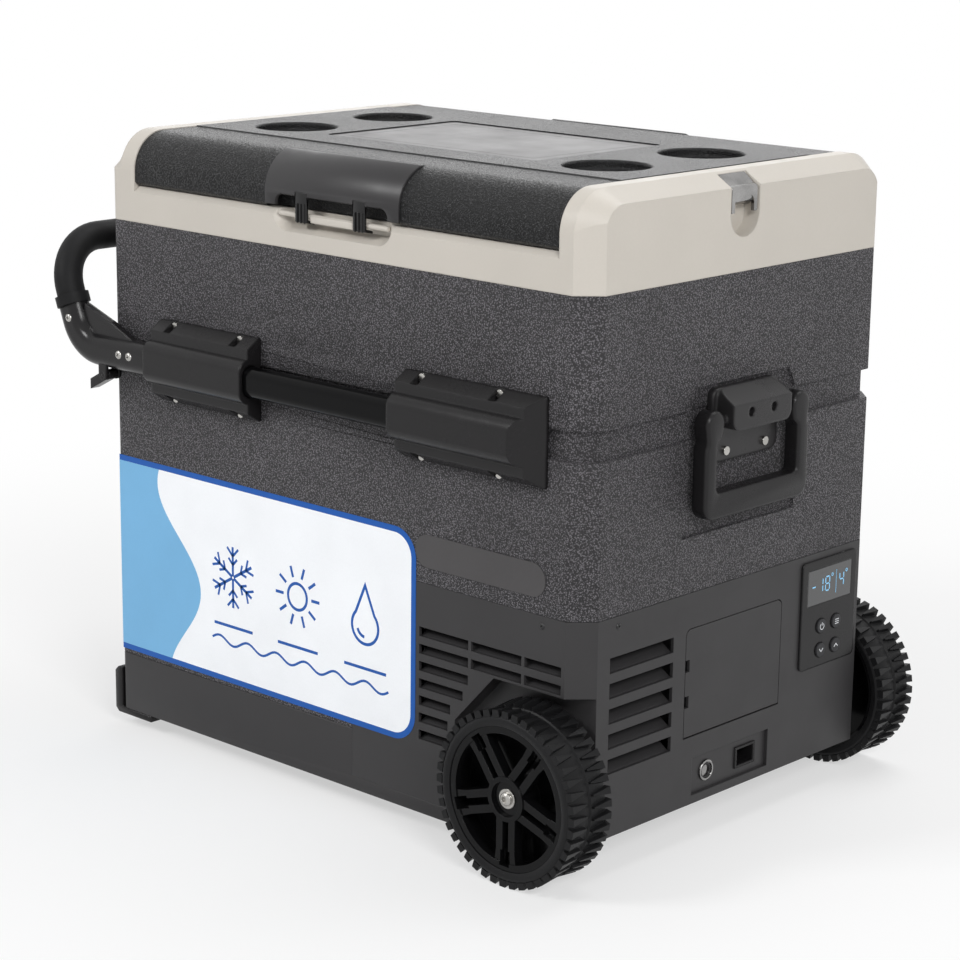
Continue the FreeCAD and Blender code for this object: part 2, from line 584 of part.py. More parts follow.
def rounded(left, low, right, high, radius):
    return [
        arc(left + radius, low, radius, 1), (right - radius, low),
        arc(right, low + radius, radius, 1), (right, high - radius),
        arc(right - radius, high, radius, 1), (left + radius, high),
        arc(left, high - radius, radius, 1), (left, low + radius),
    ]


def arc_edge(start, end, radius, turn):
    """The geometry of an arc between two points, and whether it runs from start to end."""
    chord = end - start
    middle = (start + end) / 2
    rise = math.sqrt(max(radius ** 2 - (chord.Length / 2) ** 2, 0))
    side = Vector(-chord.y, chord.x, 0).normalize() * rise * turn
    centre = middle + side
    angles = [math.atan2(p.y - centre.y, p.x - centre.x) for p in (start, end)]
    if turn < 0:
        angles.reverse()
    circle = Part.Circle(centre, Vector(0, 0, 1), radius)
    return Part.ArcOfCircle(circle, angles[0], angles[1])


def pin_point(sketch, index, end, x, y):
    for kind, length in (("DistanceX", x), ("DistanceY", y)):
        number = sketch.addConstraint(Sketcher.Constraint(kind, -1, 1, index, end, amount(length)))
        bind(sketch, "Constraints[%d]" % number, length)


def draw_outline(sketch, corners, closed=True):
    """Each corner is (x, y), or arc(...) when the edge that arrives there is round."""
    points = [Vector(amount(c[0]), amount(c[1]), 0) for c in corners]
    ends = []
    first = 0 if closed else 1
    for number in range(first, len(corners)):
        corner = corners[number]
        start, end = points[number - 1], points[number]
        if len(corner) == 2:
            index = sketch.addGeometry(Part.LineSegment(start, end))
            ends.append((index, 1, 2))
        else:
            index = sketch.addGeometry(arc_edge(start, end, amount(corner[2]), corner[3]))
            ends.append((index, 1, 2) if corner[3] > 0 else (index, 2, 1))
            size = sketch.addConstraint(Sketcher.Constraint("Radius", index, amount(corner[2])))
            bind(sketch, "Constraints[%d]" % size, corner[2])
        pin_point(sketch, ends[-1][0], ends[-1][2], corner[0], corner[1])
    if not closed:
        pin_point(sketch, ends[0][0], ends[0][1], corners[0][0], corners[0][1])
    for number in range(0 if closed else 1, len(ends)):
        before, here = ends[number - 1], ends[number]
        sketch.addConstraint(Sketcher.Constraint("Coincident", before[0], before[2], here[0], here[1]))


def draw_disc(sketch, shape):
    centre = Vector(amount(shape["x"]), amount(shape["y"]), 0)
    index = sketch.addGeometry(Part.Circle(centre, Vector(0, 0, 1), amount(shape["radius"])))
    pin_point(sketch, index, 3, shape["x"], shape["y"])
    number = sketch.addConstraint(Sketcher.Constraint("Radius", index, amount(shape["radius"])))
    bind(sketch, "Constraints[%d]" % number, shape["radius"])


def new_sketch(body, plane, level, shapes, closed=True):
    """A sketch on one of the body's own planes, moved out along the plane's normal."""
    sketch = body.newObject("Sketcher::SketchObject", "Sketch")
    sketch.AttachmentSupport = [(origin_plane(body, plane), "")]
    sketch.MapMode = "FlatFace"
    bind(sketch, "AttachmentOffset.Base.z", level)
    for shape in shapes:
        if isinstance(shape, dict):
            draw_disc(sketch, shape)
        else:
            draw_outline(sketch, shape, closed)
    return sketch


def prism(body, plane, shapes, start, end):
    """Material between two levels. The level is Z for XY, Y for XZ and X for YZ sketches."""
    level = -end if plane == "XZ" else start
    sketch = new_sketch(body, plane, level, shapes)
    pad = body.newObject("PartDesign::Pad", "Pad")
    pad.Profile = sketch
    bind(pad, "Length", end - start)
    return pad


def cut(body, plane, shapes, start, end):
    """Material taken away between two levels."""
    level = -start if plane == "XZ" else end
    sketch = new_sketch(body, plane, level, shapes)
    pocket = body.newObject("PartDesign::Pocket", "Pocket")
    pocket.Profile = sketch
    bind(pocket, "Length", end - start)
    return pocket


def dress(body, kind, size, wanted):
    """A fillet or chamfer on the edges whose middle passes the test."""
    doc.recompute()
    tip = body.Tip
    names = ["Edge%d" % n for n, edge in enumerate(tip.Shape.Edges, start=1) if wanted(edge)]
    feature = body.newObject("PartDesign::" + kind, kind)
    feature.Base = (tip, names)
    bind(feature, "Radius" if kind == "Fillet" else "Size", size)
    return feature


def at(value, place):
    return abs(value - amount(place)) < 0.01


def flat_edge(edge, height):
    box = edge.BoundBox
    return at(box.ZMin, height) and at(box.ZMax, height)


def pipe(body, path_plane, path_level, path, profile_plane, profile_level, profile):
    """A section swept along an open path."""
    spine = new_sketch(body, path_plane, path_level, [path], closed=False)
    section = new_sketch(body, profile_plane, profile_level, [profile])
    sweep = body.newObject("PartDesign::AdditivePipe", "Pipe")
    sweep.Profile = section
    sweep.Spine = spine
    return sweep


def polar(body, feature, count, axis="Y_Axis"):
    pattern = body.newObject("PartDesign::PolarPattern", "Pattern")
    pattern.Originals = [feature]
    line = [f for f in body.Origin.OriginFeatures if f.Role == axis][0]
    pattern.Axis = (line, [""])
    pattern.Angle = 360
    bind(pattern, "Occurrences", count)
    body.Tip = pattern
    return pattern


def place(body, x, y, z, turn=0):
    body.Placement = FreeCAD.Placement(Vector(0, 0, 0), FreeCAD.Rotation(Vector(0, 0, 1), turn))
    bind(body, "Placement.Base.x", x)
    bind(body, "Placement.Base.y", y)
    bind(body, "Placement.Base.z", z)


# ---------------------------------------------------------------- outlines shared by several pieces

FAR = 40
# A little beyond a wall, for cuts that pass through it.
MARGIN = 5


def chest_plan(inset=0):
    """The chest from above: round corners at the handle end, cut corners at the wheel end."""
    left, right = -HALF_LENGTH + inset, HALF_LENGTH - inset
    side = HALF_WIDTH - inset
    corner = S["corner_cut"] - inset * math.tan(math.pi / 8)
    bend = S["corner_round"] - inset if amount(inset) < S["corner_round"].value else S["corner_least"]
    return [
        arc(left + bend, -side, bend, 1), (right - corner, -side),
        (right, -side + corner), (right, side - corner),
        (right - corner, side), (left + bend, side),
        arc(left, side - bend, bend, 1), (left, -side + bend),
    ]


def casing_hollow(body, make, floor):
    """The room inside the casing: it narrows behind the groove that runs round the chest."""
    end = HALF_LENGTH - S["deep_wall"]
    side = HALF_WIDTH - S["shell_wall"]
    deep = HALF_WIDTH - S["deep_wall"]
    low = S["channel_bottom"] - S["shell_wall"]
    high = S["channel_top"] + S["shell_wall"]
    cut_corner = S["corner_cut"] - S["shell_wall"]
    for bottom, top, half in ((floor, low, side), (low, high, deep), (high, S["frame_bottom"], side)):
        outline = [(-end, -half), (end - cut_corner, -half), (end, -half + cut_corner),
                   (end, half - cut_corner), (end - cut_corner, half), (-end, half)]
        make(body, "XY", [outline], bottom, top)


def tub_outline(side, grow=0):
    """A compartment tub from above: side -1 is the long compartment, 1 the one over the machinery."""
    half = HALF_WIDTH - S["foam_wall"] + grow
    if side < 0:
        left, right = -HALF_LENGTH + S["foam_end"] - grow, S["divider_left"] + grow
    else:
        left, right = S["divider_right"] - grow, HALF_LENGTH - S["foam_end"] + grow
    return rounded(left, -half, right, half, S["liner_corner"] + grow)


def tub_floor(side):
    return S["left_floor"] if side < 0 else S["right_floor"]


def rod_section(grow, y_sign):
    """The oval pull rod across the chest, on a YZ sketch."""
    half_tall = S["rod_tall"] / 2 + grow
    half_deep = S["rod_deep"] / 2 + grow
    middle = (HALF_WIDTH + S["rod_offset"]) * y_sign
    return rounded(middle - half_deep, S["rod_height"] - half_tall,
                   middle + half_deep, S["rod_height"] + half_tall, half_deep - S["rod_flat"])


# ---------------------------------------------------------------- the chest

def outer_shell():
    body = new_body("outer_shell")
    casing_floor = S["housing_top"] + S["shell_wall"]
    prism(body, "XY", [chest_plan()], S["housing_top"], S["frame_bottom"])
    left_part = [(-HALF_LENGTH, -HALF_WIDTH), (S["housing_left"], -HALF_WIDTH),
                 (S["housing_left"], HALF_WIDTH), (-HALF_LENGTH, HALF_WIDTH)]
    prism(body, "XY", [left_part], S["tray_top"], S["housing_top"])
    trim = [(-HALF_LENGTH - FAR, -HALF_WIDTH - FAR), (HALF_LENGTH + FAR, -HALF_WIDTH - FAR),
            (HALF_LENGTH + FAR, HALF_WIDTH + FAR), (-HALF_LENGTH - FAR, HALF_WIDTH + FAR)]
    cut(body, "XY", [trim, chest_plan()], S["tray_top"], S["housing_top"])
    casing_hollow(body, cut, casing_floor)
    end = HALF_LENGTH - S["deep_wall"]
    side = HALF_WIDTH - S["shell_wall"]
    low_room = box_outline(-end, -side, S["housing_left"] - S["shell_wall"], side)
    cut(body, "XY", [low_room], S["tray_top"] + S["shell_wall"], casing_floor)
    cut(body, "XY", [trim, chest_plan(S["channel_depth"])], S["channel_bottom"], S["channel_top"])
    cut_end_grooves(body)
    cut_handle_recess(body)
    cut_screw_holes(body)
    return body


def cut_end_grooves(body):
    """Two grooves across the handle end that run out on the long faces."""
    left = -HALF_LENGTH
    deep = S["notch_depth"]
    shallow = S["notch_side_depth"]
    run_out = left + S["notch_return"]
    ring = [(left - FAR, -HALF_WIDTH - FAR), (run_out, -HALF_WIDTH - FAR), (run_out, -HALF_WIDTH),
            (left + S["notch_return"] / 2, -HALF_WIDTH + shallow), (left + deep, -HALF_WIDTH + shallow),
            (left + deep, HALF_WIDTH - shallow), (left + S["notch_return"] / 2, HALF_WIDTH - shallow),
            (run_out, HALF_WIDTH), (run_out, HALF_WIDTH + FAR), (left - FAR, HALF_WIDTH + FAR)]
    for bottom in (S["notch_one_bottom"], S["notch_two_bottom"]):
        cut(body, "XY", [ring], bottom, bottom + S["notch_height"])


def cut_handle_recess(body):
    """The shallow recess round the drop handle, with its two upper corners cut."""
    half = S["end_recess_half_width"]
    bottom, top = S["end_recess_bottom"], S["end_recess_top"]
    shape = [(-half, bottom), (half, bottom), (half, top - S["end_recess_corner"]),
             (half - S["end_recess_corner"] / 2, top), (-half + S["end_recess_corner"] / 2, top),
             (-half, top - S["end_recess_corner"])]
    cut(body, "YZ", [shape], HALF_LENGTH - S["end_recess_depth"], HALF_LENGTH + FAR)


def bracket_start(side):
    return S["left_bracket_start"] if side < 0 else S["right_bracket_start"]


def bracket_screw_places():
    """(x, z) of the screws of the two rod brackets on one long face."""
    places = []
    for side in (-1, 1):
        middle = bracket_start(side) + S["bracket_length"] / 2
        for along in (-1, 1):
            for up in (-1, 1):
                places.append((middle + S["bracket_screw_along"] * along,
                               S["rod_height"] + S["bracket_screw_up"] * up))
    return places


def cut_screw_holes(body):
    holes = [disc(x, z, S["screw_radius"]) for x, z in bracket_screw_places()]
    cut(body, "XZ", [dict(h) for h in holes], -HALF_WIDTH - FAR, -HALF_WIDTH + S["screw_length"])
    cut(body, "XZ", [dict(h) for h in holes], HALF_WIDTH - S["screw_length"], HALF_WIDTH + FAR)
    floor = HALF_LENGTH - S["end_recess_depth"]
    holes = [disc(S["plate_screw_across"] * k, S["plate_screw_height"], S["screw_radius"]) for k in (-1, 1)]
    cut(body, "YZ", holes, floor - S["screw_length"], floor + FAR)


def foam_insulation():
    body = new_body("foam_insulation")
    casing_floor = S["housing_top"] + S["shell_wall"]
    casing_hollow(body, prism, casing_floor)
    end = HALF_LENGTH - S["deep_wall"]
    side = HALF_WIDTH - S["shell_wall"]
    low_room = box_outline(-end, -side, S["housing_left"] - S["shell_wall"], side)
    prism(body, "XY", [low_room], S["tray_top"] + S["shell_wall"], casing_floor)
    for compartment in (-1, 1):
        top = S["frame_bottom"]
        cut(body, "XY", [tub_outline(compartment)], tub_floor(compartment), top)
        cut(body, "XY", [tub_outline(compartment, S["liner_flange"])], top - S["liner_wall"], top)
        plate_top = top - S["evaporator_drop"]
        cut(body, "XY", [tub_outline(compartment, S["evaporator_wall"])],
            plate_top - S["evaporator_height"], plate_top)
    return body


def liner(label, compartment):
    """A tub with a round floor edge and a rim that lies on the foam."""
    body = new_body(label)
    floor = tub_floor(compartment)
    top = S["frame_bottom"]
    prism(body, "XY", [tub_outline(compartment)], floor, top)
    dress(body, "Fillet", S["liner_edge"], lambda edge: flat_edge(edge, floor))
    hollow_out(body, S["liner_wall"], top)
    rim = [tub_outline(compartment, S["liner_flange"]), tub_outline(compartment, -S["liner_wall"])]
    prism(body, "XY", rim, top - S["liner_wall"], top)
    return body


def hollow_out(body, wall, open_level):
    """Leave a wall inside every face but the one at the open level."""
    doc.recompute()
    tip = body.Tip
    faces = ["Face%d" % n for n, face in enumerate(tip.Shape.Faces, start=1)
             if at(face.BoundBox.ZMin, open_level)]
    shell = body.newObject("PartDesign::Thickness", "Thickness")
    shell.Base = (tip, faces)
    shell.Reversed = True
    bind(shell, "Value", wall)


def evaporator_plates():
    """A plate wrapped round each tub, in the foam."""
    body = new_body("evaporator_plates")
    top = S["frame_bottom"] - S["evaporator_drop"]
    for compartment in (-1, 1):
        ring = [tub_outline(compartment, S["evaporator_wall"]), tub_outline(compartment)]
        prism(body, "XY", ring, top - S["evaporator_height"], top)
    return body


def base_tray():
    body = new_body("base_tray")
    bottom, seam = S["tray_bottom"], S["tray_seam"]
    rise = S["heel_start"] + seam - bottom
    profile = [(-HALF_LENGTH, bottom), (S["heel_start"], bottom), (rise, seam),
               (S["housing_left"], seam), (S["housing_left"], S["tray_top"]), (-HALF_LENGTH, S["tray_top"])]
    prism(body, "XZ", [profile], -HALF_WIDTH, HALF_WIDTH)
    trim = box_outline(-HALF_LENGTH - FAR, -HALF_WIDTH - FAR, HALF_LENGTH + FAR, HALF_WIDTH + FAR)
    cut(body, "XY", [trim, chest_plan()], bottom, S["tray_top"])
    wall = S["tray_wall"]
    room = box_outline(-HALF_LENGTH + wall, -HALF_WIDTH + wall, S["housing_left"] - wall, HALF_WIDTH - wall)
    cut(body, "XY", [room], bottom + wall, S["tray_top"])
    cut_arches(body)
    return body


def arch_slope():
    return (S["arch_slope_top"] - S["arch_left_low"]) / (S["arch_top"] - S["arch_slope_bottom"]).value


def cut_arches(body):
    """The wheel arches in the two long faces."""
    outline = [(S["arch_left_low"], -FAR), (HALF_LENGTH + FAR, -FAR), (HALF_LENGTH + FAR, S["arch_top"]),
               (S["arch_slope_top"], S["arch_top"]), (S["arch_left_low"], S["arch_slope_bottom"])]
    floor = HALF_WIDTH - S["corner_cut"]
    cut(body, "XZ", [outline], -HALF_WIDTH - FAR, -floor)
    cut(body, "XZ", [outline], floor, HALF_WIDTH + FAR)


def machine_housing():
    body = new_body("machine_housing")
    low, top = S["tray_seam"], S["housing_top"]
    heel = S["heel_bottom"]
    left = S["housing_left"]
    rise = S["heel_start"] + low - S["tray_bottom"]
    profile = [(left, low), (rise, low), (rise + heel - low, heel), (HALF_LENGTH, heel),
               (HALF_LENGTH, top), (left, top)]
    prism(body, "XZ", [profile], -HALF_WIDTH, HALF_WIDTH)
    trim = box_outline(-HALF_LENGTH - FAR, -HALF_WIDTH - FAR, HALF_LENGTH + FAR, HALF_WIDTH + FAR)
    cut(body, "XY", [trim, chest_plan()], low, top)
    cut_arches(body)
    wall = S["tray_wall"]
    floor = heel + wall
    arch_left = S["arch_left_low"] - wall
    room = [(left, floor), (arch_left, floor), (arch_left, S["arch_slope_bottom"]),
            (S["arch_slope_top"] - wall, S["arch_top"] + wall),
            (HALF_LENGTH - S["corner_cut"] - wall, S["arch_top"] + wall),
            (HALF_LENGTH - S["corner_cut"] - wall, top), (left, top)]
    cut(body, "XZ", [room], -HALF_WIDTH + wall, HALF_WIDTH - wall)
    half = HALF_WIDTH - S["corner_cut"] - wall
    cut(body, "XY", [box_outline(left, -half, HALF_LENGTH - wall, half)], floor, top)
    cut(body, "XZ", louvre_slots(), -HALF_WIDTH - FAR, HALF_WIDTH + FAR)
    vents = []
    for row in range(int(S["vent_count"].value)):
        bottom = S["vent_bottom"] + S["vent_pitch"] * row
        vents.append(box_outline(-S["vent_near"], bottom, -S["vent_far"], bottom + S["vent_height"]))
    cut(body, "YZ", vents, HALF_LENGTH - wall - MARGIN, HALF_LENGTH + FAR)
    add_slats(body)
    cut_end_openings(body)
    hole = disc(S["wheel_place"], S["wheel_radius"], S["axle_radius"])
    cut(body, "XZ", [hole], -HALF_WIDTH, HALF_WIDTH)
    return body


def slat(face, level, depth, rise):
    """A sloping slat: it starts in the wall under an opening and rises inwards."""
    wall = S["tray_wall"]
    inward = -1 if face.value > 0 else 1
    start, end = face + wall / 2 * inward, face + (wall + depth) * inward
    return [(start, level - S["slat_wall"]), (end, level - S["slat_wall"] + rise), (end, level + rise),
            (face + wall * inward, level), (start, level)]


def add_slats(body):
    """Slats behind the end vents and behind the louvres of both long faces."""
    levels = [S["vent_bottom"] + S["vent_pitch"] * row for row in range(int(S["vent_count"].value))]
    slats = [slat(HALF_LENGTH, level, S["vent_slat"], S["vent_slat_rise"]) for level in levels]
    prism(body, "XZ", slats, -S["vent_near"], -S["vent_far"])
    stops = {}
    for left, bottom, right in louvre_places():
        stops[bottom.text] = (bottom, right)
    for bottom, right in stops.values():
        pair = [slat(HALF_WIDTH * k, bottom, S["louvre_slat"], S["louvre_slat_rise"]) for k in (-1, 1)]
        prism(body, "YZ", pair, S["louvre_left"], right)


def louvre_slots():
    return [box_outline(left, bottom, right, bottom + S["louvre_height"])
            for left, bottom, right in louvre_places()]


def louvre_places():
    """(left, bottom, right) of slots in three columns; beside the wheel arch they stop short of it."""
    ribs = S["louvre_rib"] / 2
    columns = [(S["louvre_left"], S["louvre_rib_one"] - ribs),
               (S["louvre_rib_one"] + ribs, S["louvre_rib_two"] - ribs),
               (S["louvre_rib_two"] + ribs, S["louvre_right"])]
    slots = []
    for row in range(int(S["louvre_count"].value)):
        bottom = S["louvre_bottom"] + S["louvre_pitch"] * row
        lean = bottom - S["arch_slope_bottom"]
        reach = S["arch_left_low"] - S["louvre_margin"]
        if lean.value > 0:
            reach = reach + lean * arch_slope().value
        if bottom.value > S["arch_top"].value:
            reach = S["louvre_right"]
        for start, end in columns:
            if reach.value < start.value + S["louvre_height"].value:
                continue
            stop = end if reach.value >= end.value else reach
            slots.append((start, bottom, stop))
    return slots


def flap_opening(gap):
    half, low, high = S["flap_half_width"] + gap, S["flap_bottom"] - gap, S["flap_top"] + gap
    corner = S["flap_corner"]
    return [(-half, low), (half, low), (half, high - corner), arc(half - corner, high, corner, 1),
            (-half + corner, high), arc(-half, high - corner, corner, 1)]


def cut_end_openings(body):
    """Openings for the battery door, the socket panel and the control panel."""
    inside = HALF_LENGTH - S["tray_wall"] - MARGIN
    lip = S["panel_lip"]
    socket = box_outline(-S["socket_half_width"], S["socket_bottom"], S["socket_half_width"], S["socket_top"])
    controls = box_outline(S["panel_near"] + lip, S["panel_bottom"] + lip,
                           S["panel_far"] - lip, S["panel_top"] - lip)
    cut(body, "YZ", [flap_opening(S["flap_gap"]), socket, controls], inside, HALF_LENGTH + FAR)
    pin = disc(flap_axis_x(), flap_axis_z(), S["flap_pin_radius"] + S["pin_fit"])
    reach = S["flap_half_width"] + S["flap_pin_length"] + S["seal_gap"]
    cut(body, "XZ", [pin], -reach, reach)


def flap_axis_x():
    return HALF_LENGTH - S["flap_thickness"] / 2


def flap_axis_z():
    return S["flap_bottom"] + S["flap_thickness"] / 2


def battery_door():
    body = new_body("battery_door")
    half, thick = S["flap_half_width"], S["flap_thickness"]
    knuckle = thick / 2
    axis_x, axis_z = flap_axis_x(), flap_axis_z()
    profile = [arc(axis_x, axis_z - knuckle, knuckle, 1), arc(axis_x + knuckle, axis_z, knuckle, 1),
               (HALF_LENGTH, S["flap_top"]),
               (HALF_LENGTH - thick, S["flap_top"]), (axis_x - knuckle, axis_z)]
    prism(body, "XZ", [profile], -half, half)
    dress(body, "Fillet", S["flap_corner"],
          lambda edge: flat_edge(edge, S["flap_top"]) and at(abs(edge.CenterOfMass.y), half))
    pin_end = half + S["flap_pin_length"]
    prism(body, "XZ", [disc(axis_x, axis_z, S["flap_pin_radius"])], -pin_end, pin_end)
    notch = S["flap_notch"]
    count = int(S["flap_notches"].value)
    for place in range(1, count + 1):
        middle = S["flap_bottom"] + (S["flap_top"] - S["flap_bottom"]) * place / (count + 1)
        cut(body, "YZ", [box_outline(-half - notch, middle - notch, -half + notch, middle + notch)],
            HALF_LENGTH - thick - FAR, HALF_LENGTH + FAR)
    return body


def battery_bay():
    """The open box behind the battery door."""
    body = new_body("battery_bay")
    rim = S["flap_gap"] + S["bay_rim"]
    wall = S["bay_wall"]
    back = HALF_LENGTH - S["tray_wall"] - S["bay_depth"]
    front = HALF_LENGTH - S["tray_wall"]
    prism(body, "YZ", [flap_opening(rim)], back, front)
    cut(body, "YZ", [flap_opening(rim - wall)], back + wall, front)
    return body


def battery_pack():
    body = new_body("battery_pack")
    half = S["flap_half_width"] - S["battery_room"]
    floor = S["flap_bottom"] - S["flap_gap"] - S["bay_rim"] + S["bay_wall"]
    back = HALF_LENGTH - S["tray_wall"] - S["bay_depth"] + S["bay_wall"]
    front = HALF_LENGTH - S["tray_wall"] - S["battery_room"]
    outline = rounded(-half, floor, half, S["flap_top"] - S["battery_room"], S["battery_room"])
    prism(body, "YZ", [outline], back, front)
    return body


def socket_panel():
    body = new_body("socket_panel")
    lip = S["tray_wall"]
    front = HALF_LENGTH - S["tray_wall"]
    outline = box_outline(-S["socket_half_width"] - lip, S["socket_bottom"] - lip,
                          S["socket_half_width"] + lip, S["socket_top"] + lip)
    prism(body, "YZ", [outline], front - S["socket_inset"], front)
    middle = (S["socket_bottom"] + S["socket_top"]) / 2
    round_hole = disc(S["socket_place"], middle, S["socket_radius"])
    cut(body, "YZ", [round_hole, inlet_outline(middle, 0)], front - FAR, front)
    return body


def inlet_outline(middle, wall):
    half_wide = S["inlet_width"] / 2 - wall
    half_tall = S["inlet_height"] / 2 - wall
    place = S["inlet_place"]
    return box_outline(place - half_wide, middle - half_tall, place + half_wide, middle + half_tall)


def power_sockets():
    """A round socket and a flat inlet in the socket panel."""
    body = new_body("power_sockets")
    front = HALF_LENGTH - S["tray_wall"]
    middle = (S["socket_bottom"] + S["socket_top"]) / 2
    wall = S["socket_wall"]
    outer = [disc(S["socket_place"], middle, S["socket_radius"]), inlet_outline(middle, 0)]
    prism(body, "YZ", outer, front - S["socket_depth"], front + S["socket_proud"])
    inner = [disc(S["socket_place"], middle, S["socket_radius"] - wall), inlet_outline(middle, wall)]
    cut(body, "YZ", inner, front - S["socket_depth"] + wall, front + FAR)
    pin_wide = S["socket_wall"] / 2
    prism(body, "YZ", [disc(S["socket_place"], middle, pin_wide)], front - S["socket_depth"] + wall, front)
    return body


def button_places():
    """(name, y, z) of the four control buttons."""
    across = (S["panel_near"] + S["panel_far"]) / 2
    low = S["panel_bottom"] + S["panel_lip"] * 2 + S["button_radius"]
    half = S["button_pitch"] / 2
    return [("button_power", across - half, low + S["button_pitch"]), ("button_mode", across + half,
            low + S["button_pitch"]), ("button_down", across - half, low), ("button_up", across + half, low)]


def control_panel():
    body = new_body("control_panel")
    lip = S["panel_lip"]
    flange = rounded(S["panel_near"], S["panel_bottom"], S["panel_far"], S["panel_top"], lip)
    prism(body, "YZ", [flange], HALF_LENGTH, HALF_LENGTH + S["panel_flange"])
    boss = box_outline(S["panel_near"] + lip, S["panel_bottom"] + lip,
                       S["panel_far"] - lip, S["panel_top"] - lip)
    prism(body, "YZ", [boss], HALF_LENGTH - S["panel_boss"], HALF_LENGTH)
    holes = [disc(y, z, S["button_radius"] + S["button_gap"]) for name, y, z in button_places()]
    face = HALF_LENGTH + S["panel_flange"]
    cut(body, "YZ", holes, face - S["button_length"], face + FAR)
    cut(body, "YZ", [display_outline()], face - S["display_thickness"], face + FAR)
    return body


def display_outline():
    lip = S["panel_lip"]
    return box_outline(S["panel_near"] + lip * 2, S["panel_top"] - lip * 2 - S["display_height"],
                       S["panel_far"] - lip * 2, S["panel_top"] - lip * 2)


def control_display():
    body = new_body("control_display")
    face = HALF_LENGTH + S["panel_flange"]
    prism(body, "YZ", [display_outline()], face - S["display_thickness"], face)
    return body


def control_button(label, y, z):
    body = new_body(label)
    face = HALF_LENGTH + S["panel_flange"]
    end = face + S["button_proud"]
    start = face - S["button_length"] + S["button_travel"] + S["button_gap"]
    prism(body, "YZ", [disc(y, z, S["button_radius"])], start, end)
    dress(body, "Fillet", S["button_edge"], lambda edge: at(edge.BoundBox.XMin, end))
    return body


# ---------------------------------------------------------------- the top frame and what is on it

def roll_height():
    """Height at which the upright edge of the lid and the caps turns into the rounded part."""
    return S["lid_top"] - S["lid_step"] - S["roll_radius"]


def top_frame():
    body = new_body("top_frame")
    bottom, wall_top = S["frame_bottom"], S["frame_wall_top"]
    prism(body, "XY", [chest_plan()], bottom, wall_top)
    edge = S["frame_edge_cut"]
    for side in (-1, 1):
        face = HALF_WIDTH * side
        bevel = [(face - edge * side, wall_top), (face, wall_top - edge),
                 (face + FAR * side, wall_top - edge), (face + FAR * side, wall_top)]
        cut(body, "YZ", [bevel], -HALF_LENGTH - FAR, HALF_LENGTH + FAR)
    for side in (-1, 1):
        end_cap(body, side)
    trim = box_outline(-HALF_LENGTH - FAR, -HALF_WIDTH - FAR, HALF_LENGTH + FAR, HALF_WIDTH + FAR)
    cut(body, "XY", [trim, chest_plan()], bottom, S["cap_top"] + S["roll_radius"])
    seat_half = HALF_WIDTH - S["frame_wall"]
    seat_end = HALF_LENGTH - S["frame_end_wall"]
    seat = box_outline(-seat_end, -seat_half, seat_end, seat_half)
    cut(body, "XY", [seat], S["ledge_top"], S["cap_top"])
    mouths = [tub_outline(side, -S["liner_wall"]) for side in (-1, 1)]
    cut(body, "XY", mouths, bottom, S["ledge_top"])
    cut_cap_hollows(body)
    cut_latch_recesses(body)
    cut_opener_recess(body)
    return body


def end_cap(body, side):
    """One raised end of the frame: it follows the lid's rounded edge and bevels down to the end face."""
    inner = (S["lid_half_length"] + S["lid_end_gap"]) * side
    bevel = S["corner_cut"] if side > 0 else S["cap_bevel_out"]
    ridge = (HALF_LENGTH - bevel) * side
    roll = S["roll_radius"]
    half = HALF_WIDTH
    start, shoulder, top = S["frame_bottom"], S["cap_top"] - roll, S["cap_top"]
    profile = [(-half, start), (half, start), (half, shoulder), arc(half - roll, top, roll, 1),
               (-half + roll, top), arc(-half, shoulder, roll, 1)]
    if side > 0:
        prism(body, "YZ", [profile], inner, ridge)
    else:
        prism(body, "YZ", [profile], ridge, inner)
    low_top = top - S["cap_bevel_down"]
    if side > 0:
        end_half, corner = half - S["cap_end_inset"], S["cap_end_corner"]
        outer = [(-end_half, start), (end_half, start), (end_half, low_top - corner),
                 arc(end_half - corner, low_top, corner, 1), (-end_half + corner, low_top),
                 arc(-end_half, low_top - corner, corner, 1)]
    else:
        flat = S["cap_flat"]
        outer = [(-half, start), (half, start), (half, S["cap_shoulder"]), (flat, low_top),
                 (-flat, low_top), (-half, S["cap_shoulder"])]
    first = new_sketch(body, "YZ", ridge, [profile])
    second = new_sketch(body, "YZ", HALF_LENGTH * side, [outer])
    loft = body.newObject("PartDesign::AdditiveLoft", "Loft")
    loft.Profile = first
    loft.Sections = [second]
    loft.Ruled = True


def cut_cap_hollows(body):
    """The end caps are hollow from below, beside the opener's recess."""
    wall = S["cap_hollow"]
    near = S["opener_half_width"] - S["opener_middle"] + wall * 2
    far = HALF_WIDTH - S["roll_radius"]
    inner = S["lid_half_length"] + S["lid_end_gap"] + wall
    outer = HALF_LENGTH - S["corner_cut"]
    rooms = []
    for side in (-1, 1):
        for across in (-1, 1):
            xs = sorted((inner * side, outer * side), key=amount)
            ys = sorted((near * across, far * across), key=amount)
            rooms.append(box_outline(xs[0], ys[0], xs[1], ys[1]))
    cut(body, "XY", rooms, S["frame_bottom"], S["cap_top"] - S["cap_bevel_down"] - wall)


def cut_latch_recesses(body):
    """The recess that a latch closes into, on both long faces."""
    half, low = S["recess_half_length"], S["recess_bottom"]
    mouth = recess_outline(half, low, S["recess_corner"])
    back = recess_outline(half - S["recess_scoop"], low + S["recess_floor_rise"], S["recess_inner_corner"])
    for side in (-1, 1):
        first = new_sketch(body, "XZ", HALF_WIDTH * -side, [mouth])
        second = new_sketch(body, "XZ", (HALF_WIDTH - S["recess_depth"]) * -side, [back])
        scoop = body.newObject("PartDesign::SubtractiveLoft", "Scoop")
        scoop.Profile = first
        scoop.Sections = [second]
        scoop.Ruled = True


